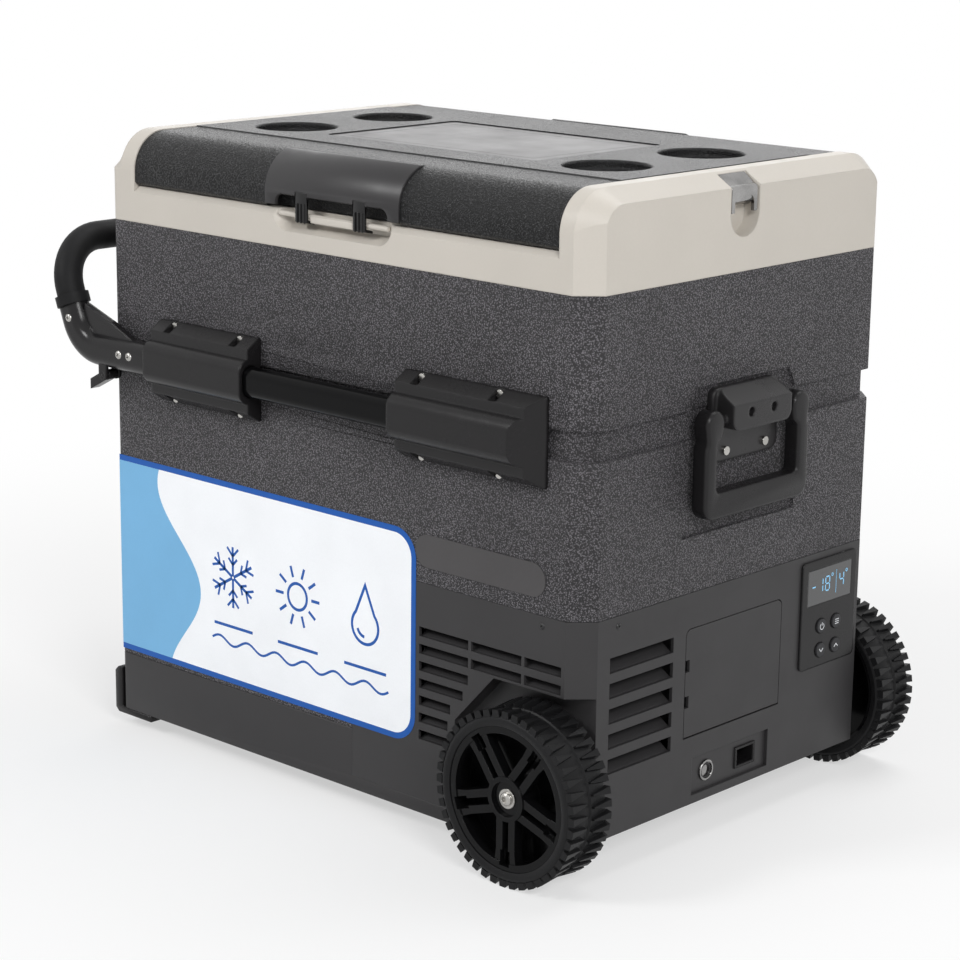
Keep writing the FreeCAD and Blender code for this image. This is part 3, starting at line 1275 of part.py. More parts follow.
def recess_outline(half, low, corner):
    high = S["frame_wall_top"] + MARGIN
    return [arc(half, low + corner, corner, 1), (half, high), (-half, high), (-half, low + corner),
            arc(-half + corner, low, corner, 1), (half - corner, low)]


def cut_opener_recess(body):
    half = S["opener_half_width"] + S["opener_room"]
    middle = S["opener_middle"]
    low = S["opener_recess_bottom"]
    shape = [arc(middle + half, low + half, half, 1), (middle + half, S["cap_top"]),
             (middle - half, S["cap_top"]), (middle - half, low + half), arc(middle, low, half, 1)]
    cut(body, "YZ", [shape], HALF_LENGTH - S["opener_recess_depth"], HALF_LENGTH + FAR)


def catch_bars():
    """A bar across each latch recess: the latches hook under it, and the lid turns on it."""
    body = new_body("catch_bars")
    half = S["recess_half_length"] - S["catch_end"]
    for side in (-1, 1):
        place = (HALF_WIDTH - S["catch_inset"]) * side
        prism(body, "YZ", [disc(place, S["catch_height"], S["catch_radius"])], -half, half)
        back = (HALF_WIDTH - S["recess_depth"]) * side
        levels = sorted((place, back), key=amount)
        leg = S["hook_place"] - S["hook_width"] / 2 - S["leg_gap"]
        foot = S["catch_height"] - S["leg_drop"]
        legs = [box_outline(leg - S["leg_width"], foot, leg, S["catch_height"]),
                box_outline(-leg, foot, -leg + S["leg_width"], S["catch_height"])]
        prism(body, "XZ", legs, levels[0], levels[1])
    return body


def bottle_opener():
    """A bent metal tongue: it slopes out of its recess and turns down over a mouth that lifts the cap."""
    body = new_body("bottle_opener")
    middle, half = S["opener_middle"], S["opener_half_width"]
    low, high = S["opener_bottom"], S["opener_top"]
    back = HALF_LENGTH - S["opener_recess_depth"]
    face = HALF_LENGTH - S["opener_inset"]
    thick, bend = S["opener_thickness"], S["opener_bend"]
    knee = high - S["opener_knee"]
    profile = [(face - thick, low), (face, low), (face, knee - bend), arc(face - bend, knee, bend, 1),
               (back, high), (back, high - thick), (face - thick, knee - thick)]
    prism(body, "XZ", [profile], middle - half, middle + half)
    side, top, corner = half - S["opener_cheek"], low + S["opener_mouth"], S["opener_mouth_corner"]
    mouth = [(middle - side, low - MARGIN), (middle + side, low - MARGIN), (middle + side, top - corner),
             arc(middle + side - corner, top, corner, 1), (middle - side + corner, top),
             arc(middle - side, top - corner, corner, 1)]
    cut(body, "YZ", [mouth], face - thick, face)
    return body


def rod_bracket(label, side, y_sign):
    """A bracket that a pull rod slides in; the one at the wheel end is closed."""
    body = new_body(label)
    start = bracket_start(side)
    end = start + S["bracket_length"]
    if side > 0:
        end = end + S["bracket_end_wall"]
    middle = S["rod_height"]
    face = HALF_WIDTH * y_sign
    shoulder = face + S["bracket_shoulder"] * y_sign
    peak = face + S["bracket_proud"] * y_sign
    base = face + S["bracket_base"] * y_sign
    half, waist = S["bracket_half_height"], S["bracket_waist"]
    bulge = S["bracket_bulge"]
    turn = -y_sign
    step = S["bracket_step"]
    profile = [(face, middle - half), (face, middle + half), (base, middle + half),
               (shoulder, middle + step), (shoulder, middle + waist),
               arc(peak, middle + waist / 2, bulge, turn),
               (peak, middle - waist / 2), arc(shoulder, middle - waist, bulge, turn),
               (shoulder, middle - step), (base, middle - half)]
    prism(body, "YZ", [profile], start, end)
    bore_end = start + S["bracket_length"]
    cut(body, "YZ", [rod_section(S["rod_fit"], y_sign)], start, bore_end)
    if side > 0:
        facet = [(end - S["bracket_end_slope"], peak), (end + FAR, peak), (end + FAR, base),
                 (end, base)]
        low, high = middle - half, middle + half
        cut(body, "XY", [facet], low, high)
    slots, holes = [], []
    for x, z in bracket_screw_places():
        if not start.value < x.value < end.value:
            continue
        up = 1 if z.value > middle.value else -1
        wide = S["screw_head_radius"] + S["seal_gap"]
        lows = sorted((z - wide * up, middle + (half + FAR) * up), key=amount)
        slots.append(box_outline(x - wide, lows[0], x + wide, lows[1]))
        holes.append(disc(x, z, S["screw_radius"]))
    levels = sorted((base, peak + FAR * y_sign), key=amount)
    cut(body, "XZ", slots, levels[0], levels[1])
    levels = sorted((face, base), key=amount)
    cut(body, "XZ", holes, levels[0], levels[1])
    return body


def case_screws():
    """The screws of the rod brackets, the drop handle and the corner feet."""
    body = new_body("case_screws")
    heads = [disc(x, z, S["screw_head_radius"]) for x, z in bracket_screw_places()]
    shanks = [disc(x, z, S["screw_radius"]) for x, z in bracket_screw_places()]
    seat = HALF_WIDTH + S["bracket_base"]
    prism(body, "XZ", heads, -seat - S["screw_head_height"], -seat)
    prism(body, "XZ", shanks, -seat, -HALF_WIDTH + S["screw_length"])
    prism(body, "XZ", heads, seat, seat + S["screw_head_height"])
    prism(body, "XZ", shanks, HALF_WIDTH - S["screw_length"], seat)
    plate_face = HALF_LENGTH - S["end_recess_depth"] + S["plate_thickness"]
    places = [(S["plate_screw_across"] * k, S["plate_screw_height"]) for k in (-1, 1)]
    heads = [disc(y, z, S["screw_head_radius"]) for y, z in places]
    shanks = [disc(y, z, S["screw_radius"]) for y, z in places]
    prism(body, "YZ", heads, plate_face, plate_face + S["screw_head_height"])
    prism(body, "YZ", shanks, HALF_LENGTH - S["end_recess_depth"] - S["screw_length"], plate_face)
    foot_face = -HALF_LENGTH - S["foot_thickness"]
    heads = [disc(foot_middle() * k, S["foot_screw_height"], S["screw_head_radius"]) for k in (-1, 1)]
    prism(body, "YZ", heads, foot_face - S["screw_head_height"], foot_face)
    return body


def handle_plate():
    """The drop handle's plate, its raised block and the two studs that the handle turns on."""
    body = new_body("handle_plate")
    floor = HALF_LENGTH - S["end_recess_depth"]
    half, block = S["plate_half_width"], S["block_half_width"]
    corner = S["plate_corner"]
    prism(body, "YZ", [rounded(-half, S["plate_bottom"], half, S["plate_top"], corner)],
          floor, floor + S["plate_thickness"])
    proud, top = HALF_LENGTH + S["block_proud"], S["plate_top"]
    prism(body, "YZ", [rounded(-block, S["block_bottom"], block, top, S["block_corner"])],
          floor + S["plate_thickness"], proud)
    slope = [(floor + S["plate_thickness"], top), (proud, top - S["block_slope"]),
             (proud + FAR, top - S["block_slope"]), (proud + FAR, top)]
    cut(body, "XZ", [slope], -block - MARGIN, block + MARGIN)
    stud_end = S["handle_half_width"] - S["pin_seat"]
    prism(body, "XZ", [disc(handle_axis_x(), S["handle_pivot_height"], S["handle_pin_radius"])],
          -stud_end, stud_end)
    holes = [disc(S["plate_screw_across"] * k, S["plate_screw_height"], S["screw_radius"]) for k in (-1, 1)]
    cut(body, "YZ", holes, floor, floor + S["plate_thickness"])
    dents = [disc(S["block_hole_across"] * side, S["block_hole_height"], S["block_hole_radius"])
             for side in (-1, 1)]
    cut(body, "YZ", dents, proud - S["block_hole_depth"], proud)
    return body


def handle_axis_x():
    return HALF_LENGTH + S["handle_pivot_out"]


def drop_handle():
    """The handle that hangs on the wheel end and swings up."""
    body = new_body("drop_handle")
    half, arm = S["handle_half_width"], S["handle_arm"]
    bottom, bar = S["handle_bottom"], S["handle_bar"]
    top = S["handle_pivot_height"] + S["handle_ear"]
    corner = S["handle_corner"]
    ear = arm / 2
    outline = [
        arc(-half + corner, bottom, corner, 1), (half - corner, bottom),
        arc(half, bottom + corner, corner, 1),
        (half, top - ear), arc(half - ear, top, ear, 1), arc(half - arm, top - ear, ear, 1),
        (half - arm, bottom + bar), (-half + arm, bottom + bar), (-half + arm, top - ear),
        arc(-half + ear, top, ear, 1), arc(-half, top - ear, ear, 1), (-half, bottom + corner),
    ]
    middle = handle_axis_x()
    thick = S["handle_thickness"] / 2
    prism(body, "YZ", [outline], middle - thick, middle + thick)
    dress(body, "Fillet", S["handle_edge"],
          lambda edge: at(edge.BoundBox.XMin, edge.BoundBox.XMax) and not at(edge.CenterOfMass.x, middle))
    bore = disc(middle, S["handle_pivot_height"], S["handle_pin_radius"] + S["pin_fit"])
    reach = half - S["pin_seat"] + S["seal_gap"]
    cut(body, "XZ", [bore], -reach, reach)
    return body


def label_sheet():
    """The label reaches the handle end with square corners; its other corners are round."""
    body = new_body("label_sheet")
    left, right = S["label_left"], S["badge_left"]
    low, high, corner = S["label_bottom"], S["label_top"], S["label_corner"]
    outline = [(left, low), (right - corner, low), arc(right, low + corner, corner, 1),
               (right, high - corner), arc(right - corner, high, corner, 1), (left, high)]
    prism(body, "XZ", [outline], -HALF_WIDTH - S["label_thickness"], -HALF_WIDTH)
    return body


def badge_strip():
    body = new_body("badge_strip")
    half = (S["badge_top"] - S["badge_bottom"]) / 2
    outline = rounded(S["badge_left"], S["badge_bottom"], S["badge_right"], S["badge_top"],
                      half - S["seal_gap"])
    prism(body, "XZ", [outline], -HALF_WIDTH - S["badge_thickness"], -HALF_WIDTH)
    return body


def foot_middle():
    return HALF_WIDTH - S["foot_width"] / 2


def corner_feet():
    """Two angle pieces round the lower edge of the handle end."""
    body = new_body("corner_feet")
    face, thick = -HALF_LENGTH, S["foot_thickness"]
    low, high = S["foot_bottom"], S["foot_top"]
    bottom = S["tray_bottom"]
    profile = [(face, bottom), (face, high), (face - thick + S["foot_bevel"], high),
               (face - thick, high - S["foot_bevel"]), (face - thick, low + S["foot_bevel"]),
               (face - thick + S["foot_bevel"], low), (S["foot_inner"], low), (S["foot_inner"], bottom)]
    half = HALF_WIDTH
    prism(body, "XZ", [profile], -half, -half + S["foot_width"])
    prism(body, "XZ", [profile], half - S["foot_width"], half)
    return body


def rubber_feet():
    body = new_body("rubber_feet")
    pads = [disc(S["pad_place_along"], S["pad_place_across"] * k, S["pad_radius"]) for k in (-1, 1)]
    prism(body, "XY", pads, ZERO, S["tray_bottom"])
    return body


# ---------------------------------------------------------------- the machinery

def deck_top():
    return S["heel_bottom"] + S["tray_wall"] + S["deck_thickness"]


def mounting_deck():
    body = new_body("mounting_deck")
    half = HALF_WIDTH - S["corner_cut"] - S["tray_wall"] * 2
    outline = box_outline(S["housing_left"] + S["tray_wall"], -half, S["deck_right"], half)
    prism(body, "XY", [outline], S["heel_bottom"] + S["tray_wall"], deck_top())
    return body


def compressor():
    body = new_body("compressor")
    low = deck_top() + S["mount_height"]
    x, y = S["compressor_along"], S["compressor_across"]
    can = S["compressor_radius"]
    prism(body, "XY", [disc(x, y, can)], low, low + S["compressor_height"])
    top = low + S["compressor_height"]
    dress(body, "Fillet", S["can_edge"], lambda edge: flat_edge(edge, top) or flat_edge(edge, low))
    plate = S["compressor_foot"]
    base = box_outline(x - plate, y - plate, x + plate, y + plate)
    prism(body, "XY", [base], low, low + S["deck_thickness"])
    return body


def compressor_mounts():
    body = new_body("compressor_mounts")
    reach = S["compressor_foot"] - S["mount_radius"]
    x, y = S["compressor_along"], S["compressor_across"]
    discs = [disc(x + reach * i, y + reach * j, S["mount_radius"]) for i in (-1, 1) for j in (-1, 1)]
    prism(body, "XY", discs, deck_top(), deck_top() + S["mount_height"])
    return body


def tube_rows():
    """Heights of the straight runs of the condenser's tube."""
    step = S["condenser_height"] / S["tube_rows"]
    return [deck_top() + step / 2 + step * row for row in range(int(S["tube_rows"].value))]


def condenser_tubes():
    """One tube to and fro through the fins, its bends outside them."""
    body = new_body("condenser_tubes")
    rows = tube_rows()
    bend = S["condenser_height"] / S["tube_rows"] / 2
    left, right = S["condenser_left"], S["condenser_right"]
    path = [(left, rows[0])]
    for number, height in enumerate(rows):
        forward = number % 2 == 0
        path.append((right if forward else left, height))
        if number < len(rows) - 1:
            middle = height + bend
            outward = right + bend if forward else left - bend
            turn = 1 if forward else -1
            path.append(arc(outward, middle, bend, turn))
            path.append(arc(right if forward else left, rows[number + 1], bend, turn))
    middle_y = S["condenser_front"] + S["condenser_depth"] / 2
    section = disc(middle_y, rows[0], S["tube_radius"])
    pipe(body, "XZ", -middle_y, path, "YZ", left, section)
    return body


def condenser_fins():
    body = new_body("condenser_fins")
    front = S["condenser_front"]
    left, right = S["condenser_left"] + S["fin_pitch"], S["condenser_right"] - S["fin_pitch"]
    outline = box_outline(front, deck_top(), front + S["condenser_depth"],
                          deck_top() + S["condenser_height"])
    middle_y = front + S["condenser_depth"] / 2
    holes = [disc(middle_y, height, S["tube_radius"]) for height in tube_rows()]
    fin = prism(body, "YZ", [outline] + holes, left, left + S["fin_thickness"])
    pattern = body.newObject("PartDesign::LinearPattern", "Pattern")
    pattern.Originals = [fin]
    pattern.Direction = ([f for f in body.Origin.OriginFeatures if f.Role == "X_Axis"][0], [""])
    count = (right - left) / S["fin_pitch"]
    bind(pattern, "Length", right - left)
    pattern.setExpression("Occurrences", "floor(%s) + 1" % count.text)
    body.Tip = pattern
    return body


def fan_middle():
    return (S["condenser_left"] + S["condenser_right"]) / 2, deck_top() + S["fan_size"] / 2


def fan_start():
    return S["condenser_front"] + S["condenser_depth"] + S["fan_standoff"]


def fan_frame():
    """A square frame behind the condenser, with three struts that carry the motor."""
    body = new_body("fan_frame")
    x, z = fan_middle()
    half = S["fan_size"] / 2
    start, end = fan_start(), fan_start() + S["fan_depth"]
    square = rounded(x - half, z - half, x + half, z + half, S["fan_corner"])
    prism(body, "XZ", [square, disc(x, z, S["fan_bore"])], start, end)
    strut = S["fan_strut"]
    bars = box_outline(x - half + strut, z - strut, x + half - strut, z + strut)
    prism(body, "XZ", [bars], end - strut, end)
    upright = box_outline(x - strut, z - half + strut, x + strut, z + half - strut)
    prism(body, "XZ", [upright], end - strut, end)
    prism(body, "XZ", [disc(x, z, S["fan_hub"])], end - strut, end)
    prism(body, "XZ", [disc(x, z, S["fan_shaft"])], start + strut, end - strut)
    stand = S["condenser_front"] + S["condenser_depth"]
    corners = half - S["fan_corner"]
    studs = [disc(x + corners * i, z + corners * j, strut / 2) for i in (-1, 1) for j in (-1, 1)]
    prism(body, "XZ", studs, stand, start)
    return body


def fan_rotor():
    """Seven twisted blades on a hub, modelled about the hub's axis."""
    body = new_body("fan_rotor")
    strut = S["fan_strut"]
    depth = S["fan_depth"] - strut * 2
    prism(body, "XZ", [disc(ZERO, ZERO, S["fan_hub"])], ZERO, depth)
    tip = S["fan_bore"] - S["fan_tip_gap"]
    root = S["fan_hub"] - strut / 2
    thick = S["blade_thickness"]
    lean = S["blade_lean"]
    sections = []
    for level, way in ((strut / 2, -1), (depth - strut / 2, 1)):
        shift, twist = lean * way, S["blade_root_lean"] * way
        bar = [(root, twist - thick), (tip - thick, shift - thick),
               (tip - thick, shift + thick), (root, twist + thick)]
        sections.append(new_sketch(body, "XZ", -level, [bar]))
    loft = body.newObject("PartDesign::AdditiveLoft", "Blade")
    loft.Profile = sections[0]
    loft.Sections = [sections[1]]
    loft.Ruled = True
    polar(body, loft, S["blade_count"])
    cut(body, "XZ", [disc(ZERO, ZERO, S["fan_shaft"] + S["pin_fit"])], ZERO, depth)
    x, z = fan_middle()
    place(body, x, fan_start() + strut / 2, z)
    return body


def refrigerant_pipes():
    """The hot pipe with its filter drier, and the pipes up to the evaporators."""
    body = new_body("refrigerant_pipes")
    middle_y = S["condenser_front"] + S["condenser_depth"] / 2
    rows = tube_rows()
    bend, tube = S["pipe_bend"], S["pipe_radius"]
    start = S["condenser_left"]
    run = start - bend
    can_x = S["compressor_along"] - S["compressor_radius"] + S["pipe_seat"]
    can_y = S["compressor_across"]
    path = [(start, middle_y), arc(run, middle_y + bend, bend, -1),
            (run, can_y - bend), arc(run + bend, can_y, bend, -1), (can_x, can_y)]
    pipe(body, "XY", rows[0], path, "YZ", start, disc(middle_y, rows[0], tube))
    drier_start = S["condenser_front"] + S["condenser_depth"] + S["drier_gap"]
    prism(body, "XZ", [disc(run, rows[0], S["drier_radius"])], drier_start, drier_start + S["drier_length"])
    end = S["condenser_right"]
    path = [(end, rows[-1]), arc(end + bend, rows[-1] + bend, bend, 1), (end + bend, S["housing_top"])]
    pipe(body, "XZ", -middle_y, path, "YZ", end, disc(middle_y, rows[-1], tube))
    top = deck_top() + S["mount_height"] + S["compressor_height"]
    prism(body, "XY", [disc(S["compressor_along"], can_y, tube)], top, S["housing_top"])
    return body


def power_module():
    body = new_body("power_module")
    left = S["housing_left"] + S["module_room"]
    back = S["compressor_across"] - S["compressor_radius"] - S["mount_radius"]
    low = deck_top()
    right, front = left + S["module_length"], back - S["module_width"]
    prism(body, "XY", [box_outline(left, front, right, back)], low, low + S["module_height"])
    slots = []
    pitch = S["module_pitch"]
    for number in range(1, int(S["module_width"].value / pitch.value) - 1):
        y = front + pitch * number
        slots.append(box_outline(left - MARGIN, y, right + MARGIN, y + pitch / 2))
    cut(body, "XY", slots, low + S["module_base"], low + S["module_height"])
    return body


# ---------------------------------------------------------------- the lid

def lid_shell():
    body = new_body("lid_shell")
    half_width, bottom = S["lid_half_width"], S["lid_bottom"]
    edge, roll = S["lid_edge_cut"], S["roll_radius"]
    side_top = S["lid_top"] - S["lid_step"]
    step = S["lid_step_place"]
    profile = [
        (-half_width + edge, bottom), (half_width - edge, bottom), (half_width, bottom + edge),
        (half_width, roll_height()), arc(half_width - roll, side_top, roll, 1),
        (step + S["lid_step"], side_top), (step, S["lid_top"]), (-step, S["lid_top"]),
        (-step - S["lid_step"], side_top), (-half_width + roll, side_top),
        arc(-half_width, roll_height(), roll, 1), (-half_width, bottom + edge),
    ]
    half = S["lid_half_length"]
    prism(body, "YZ", [profile], -half, half)
    lid_room(body, cut, bottom)
    panel = rounded(-S["panel_half_length"], -S["panel_half_width"], S["panel_half_length"],
                    S["panel_half_width"], S["panel_corner"])
    top = S["lid_top"]
    cut(body, "XY", [panel], top - S["panel_depth"], top)
    floor = top - S["cup_depth"]
    cut(body, "XY", cup_discs(0), floor, top)
    dress(body, "Fillet", S["cup_rim"], lambda edge: cup_edge(edge, top))
    dress(body, "Fillet", S["cup_floor_round"], lambda edge: cup_edge(edge, floor))
    for side in (-1, 1):
        cut_latch_pocket(body, side)
    return body


def cup_edge(edge, height):
    if not flat_edge(edge, height) or not isinstance(edge.Curve, Part.Circle):
        return False
    return at(edge.Curve.Radius, S["cup_radius"])


def cup_discs(grow):
    return [disc(S["cup_place_along"] * i, S["cup_place_across"] * j, S["cup_radius"] + grow)
            for i in (-1, 1) for j in (-1, 1)]


def lid_room(body, make, bottom):
    """The room inside the lid's skin, in two layers: the upper one leaves the cup holders standing."""
    half = S["lid_half_length"] - S["lid_wall"]
    low_half = plug_half_width()
    middle = S["lid_top"] - S["cup_depth"] - S["lid_wall"]
    slope = S["lid_roll_depth"]
    profile = [(-low_half, bottom), (low_half, bottom), (low_half, roll_height()),
               (low_half - slope, middle), (-low_half + slope, middle), (-low_half, roll_height())]
    make(body, "YZ", [profile], -half, half)
    top = S["lid_top"] - S["panel_depth"] - S["lid_wall"] / 2
    inner = low_half - slope
    make(body, "XY", [box_outline(-half, -inner, half, inner)] + cup_discs(S["lid_wall"]), middle, top)


def plug_half_width():
    return HALF_WIDTH - S["frame_wall"] - S["plug_gap"]


def latch_point(radius, angle, side):
    """A point about the centre of the lid's rounded edge; the angle is a size, from straight up."""
    turn = math.radians(angle.value)
    centre = S["lid_half_width"] - S["roll_radius"]
    along = Size(math.sin(turn), "sin(%s)" % angle.text)
    up = Size(math.cos(turn), "cos(%s)" % angle.text)
    return ((centre + radius * along) * side, roll_height() + radius * up)


def cut_latch_pocket(body, side):
    half = S["latch_half_length"] + S["lid_end_gap"]
    radius = S["roll_radius"] - S["latch_pocket"]
    centre = S["lid_half_width"] - S["roll_radius"]
    end = latch_point(radius, S["latch_end_angle"], side)
    out = latch_point(S["roll_radius"] + S["latch_pocket"], S["latch_end_angle"], side)
    far = (S["lid_half_width"] + FAR) * side
    shape = [((centre + radius) * side, S["lid_bottom"]), ((centre + radius) * side, roll_height()),
             arc(end[0], end[1], radius, side), (out[0], out[1]), (far, out[1]), (far, S["lid_bottom"])]
    cut(body, "YZ", [shape], -half, half)
    pin = disc(*latch_pin(side), S["latch_pin_radius"])
    reach = half + S["latch_pin_seat"]
    cut(body, "YZ", [pin], -reach, reach)


def latch_pin(side):
    return latch_point(S["latch_pin_orbit"], S["latch_pin_angle"], side)


def latch_pins():
    body = new_body("latch_pins")
    reach = S["latch_half_length"] + S["lid_end_gap"] + S["latch_pin_seat"]
    pins = [disc(*latch_pin(side), S["latch_pin_radius"]) for side in (-1, 1)]
    prism(body, "YZ", pins, -reach, reach)
    return body


def latch(label, side):
    """A curved cover over the lid's rounded edge, with two hooks that reach under the catch bar."""
    body = new_body(label)
    half = S["latch_half_length"]
    centre = S["lid_half_width"] - S["roll_radius"]
    outer = S["roll_radius"] + S["latch_proud"]
    inner = outer - S["latch_wall"]
    bottom = S["lid_bottom"] + S["latch_lift"]
    high, low = (latch_point(radius, S["latch_pin_angle"], side) for radius in (outer, inner))
    profile = [((centre + inner) * side, bottom), ((centre + outer) * side, bottom),
               ((centre + outer) * side, roll_height()), arc(high[0], high[1], outer, side),
               (low[0], low[1]), arc((centre + inner) * side, roll_height(), inner, -side)]
    prism(body, "YZ", [profile], -half, half)
    prism(body, "YZ", [disc(*latch_pin(side), S["barrel_radius"])], -half, half)
    finger = S["finger_half_length"]
    notch_top = bottom + S["finger_height"]
    corner = S["finger_corner"]
    notch = [(-finger, bottom - MARGIN), (finger, bottom - MARGIN), (finger, notch_top - corner),
             arc(finger - corner, notch_top, corner, 1), (-finger + corner, notch_top),
             arc(-finger, notch_top - corner, corner, 1)]
    levels = sorted(((centre + inner - MARGIN) * side, (centre + outer + MARGIN) * side), key=amount)
    cut(body, "XZ", [notch], levels[0], levels[1])
    add_hooks(body, side, notch_top + S["latch_wall"])
    cut(body, "YZ", [disc(*latch_pin(side), S["latch_pin_radius"] + S["pin_fit"])], -half, half)
    return body


def add_hooks(body, side, top):
    catch = HALF_WIDTH - S["catch_inset"]
    ring = S["catch_radius"] + S["hook_gap"]
    wall = S["hook_wall"]
    lip = S["catch_height"] - ring
    outline = [
        ((catch + ring) * side, top), ((catch + ring) * side, lip),
        ((catch - S["hook_reach"]) * side, lip - S["hook_lip_drop"]),
        ((catch - S["hook_reach"]) * side, lip - S["hook_lip_drop"] - wall),
        ((catch + ring + wall) * side, lip - wall), ((catch + ring + wall) * side, top),
    ]
    half = S["hook_width"] / 2
    for place in (-1, 1):
        middle = S["hook_place"] * place
        prism(body, "YZ", [outline], middle - half, middle + half)


def lid_panel():
    body = new_body("lid_panel")
    floor = S["lid_top"] - S["panel_depth"]
    outline = rounded(-S["panel_half_length"], -S["panel_half_width"], S["panel_half_length"],
                      S["panel_half_width"], S["panel_corner"])
    prism(body, "XY", [outline], floor, floor + S["panel_thickness"])
    return body


def pan_flange_top():
    return S["lid_bottom"] + S["lid_wall"]


def lid_pan():
    """The inner pan that closes the lid from below and plugs the chest's mouth."""
    body = new_body("lid_pan")
    half, width = S["lid_half_length"] - S["plug_margin"], plug_half_width()
    bottom, wall = S["lid_bottom"] - S["plug_drop"], S["plug_wall"]
    prism(body, "XY", [box_outline(-half, -width, half, width)], bottom, S["lid_bottom"])
    long_half = S["lid_half_length"] - S["lid_wall"]
    prism(body, "XY", [box_outline(-long_half, -width, long_half, width)], S["lid_bottom"], pan_flange_top())
    cut(body, "XY", [box_outline(-half + wall, -width + wall, half - wall, width - wall)],
        bottom + wall, pan_flange_top())
    return body


def lid_insulation():
    body = new_body("lid_insulation")
    half, width = S["lid_half_length"] - S["plug_margin"], plug_half_width()
    wall = S["plug_wall"]
    bottom = S["lid_bottom"] - S["plug_drop"] + wall
    lid_room(body, prism, pan_flange_top())
    prism(body, "XY", [box_outline(-half + wall, -width + wall, half - wall, width - wall)],
          bottom, pan_flange_top())
    return body


def lid_seal():
    body = new_body("lid_seal")
    inset = S["seal_inset"]
    half, width = S["lid_half_length"] - S["plug_margin"] - inset, plug_half_width() - inset
    wide = S["seal_width"]
    ring = [box_outline(-half, -width, half, width),
            box_outline(-half + wide, -width + wide, half - wide, width - wide)]
    prism(body, "XY", ring, S["ledge_top"] + S["seal_gap"], S["lid_bottom"] - S["plug_drop"])
    return body


# ---------------------------------------------------------------- the pull handle

def rod_axis_y(side):
    return (HALF_WIDTH + S["rod_offset"]) * side


def elbow_start():
    return S["left_bracket_start"] - S["elbow_gap"]


def lean_parts():
    """The grip's direction, along the chest and up."""
    angle = math.radians(S["handle_lean"].value)
    along = Size(-math.sin(angle), "(-sin(Sizes.handle_lean))")
    return along, Size(math.cos(angle), "cos(Sizes.handle_lean)")


def grip_root():
    """Where the elbow ends and the grip begins, on the rod's axis plane."""
    along, up = lean_parts()
    return S["elbow_corner"] + S["elbow_rise"] * along, S["rod_height"] + S["elbow_rise"] * up


def pull_rods():
    body = new_body("pull_rods")
    left = elbow_start() - S["elbow_socket"]
    right = S["right_bracket_start"] + S["bracket_length"] - S["rod_end_room"]
    shapes = []
    for side in (-1, 1):
        shapes += [rod_section(0, side), rod_section(-S["rod_wall"], side)]
    prism(body, "YZ", shapes, left, right)
    return body


def handle_elbows():
    """The two bent sockets between the pull rods and the grip."""
    body = new_body("handle_elbows")
    along, up = lean_parts()
    turn_angle = math.radians(90 - S["handle_lean"].value)
    bend = S["elbow_bend"]
    tangent = bend * Size(math.tan(turn_angle / 2), "tan((90 - Sizes.handle_lean) / 2)")
    corner_x, height = S["elbow_corner"], S["rod_height"]
    end_x, end_z = grip_root()
    start = elbow_start()
    half_tall, half_deep = S["elbow_tall"] / 2, S["elbow_deep"] / 2
    for side in (-1, 1):
        middle = rod_axis_y(side)
        path = [(start, height), (corner_x + tangent, height),
                arc(corner_x + tangent * along, height + tangent * up, bend, -1), (end_x, end_z)]
        section = rounded(middle - half_deep, height - half_tall, middle + half_deep,
                          height + half_tall, S["elbow_round"])
        pipe(body, "XZ", -middle, path, "YZ", start, section)
        foot = start - S["web_inset"]
        web = [(corner_x, height), (foot, height), (foot, height + half_tall / 2),
               (start - S["web_reach"], height + half_tall + S["web_rise"]),
               (corner_x + S["web_foot"], height + half_tall + S["web_top"])]
        thick = S["web_thickness"] / 2
        prism(body, "XZ", [web], middle - thick, middle + thick)
        cheek = lever_cheek()
        inner, outer = S["lever_half"] + S["lever_gap"], S["lever_half"] + S["lever_gap"] + S["cheek_wall"]
        prism(body, "XZ", [cheek], middle - outer, middle - inner)
        prism(body, "XZ", [cheek], middle + inner, middle + outer)
        cut(body, "YZ", [rod_section(0, side)], start - S["elbow_socket"], start)
    pin_x, pin_z = lever_axis()
    hole = disc(pin_x, pin_z, S["lever_pin_radius"] + S["pin_fit"])
    for side in (-1, 1):
        middle = rod_axis_y(side)
        reach = S["lever_half"] + S["lever_gap"] + S["cheek_wall"]
        cut(body, "XZ", [hole], middle - reach, middle + reach)
    return body


def lever_axis():
    return (elbow_start() - S["lever_place"], S["rod_height"] - S["elbow_tall"] / 2 - S["lever_pin_drop"])


def lever_cheek():
    x, z = lever_axis()
    ring = S["lever_pin_radius"] + S["cheek_wall"]
    top = S["rod_height"] - S["elbow_tall"] / 2 + S["cheek_wall"]
    return [(x - ring, z), arc(x, z - ring, ring, 1), arc(x + ring, z, ring, 1),
            (x + ring, top), (x - ring, top)]


def release_lever(label, side):
    """The trigger under an elbow."""
    body = new_body(label)
    x, z = lever_axis()
    ring = S["lever_pin_radius"] + S["cheek_wall"] - S["seal_gap"]
    length, drop = S["lever_length"], S["lever_drop"]
    thick = S["lever_thickness"]
    outline = [(x - length, z - drop / 2), (x - length, z - drop / 2 - thick), (x, z - ring),
               arc(x, z + ring, ring, 1)]
    middle = rod_axis_y(side)
    prism(body, "XZ", [outline], middle - S["lever_half"], middle + S["lever_half"])
    reach = S["lever_half"] + S["lever_gap"] + S["cheek_wall"]
    prism(body, "XZ", [disc(x, z, S["lever_pin_radius"])], middle - reach, middle + reach)
    return body


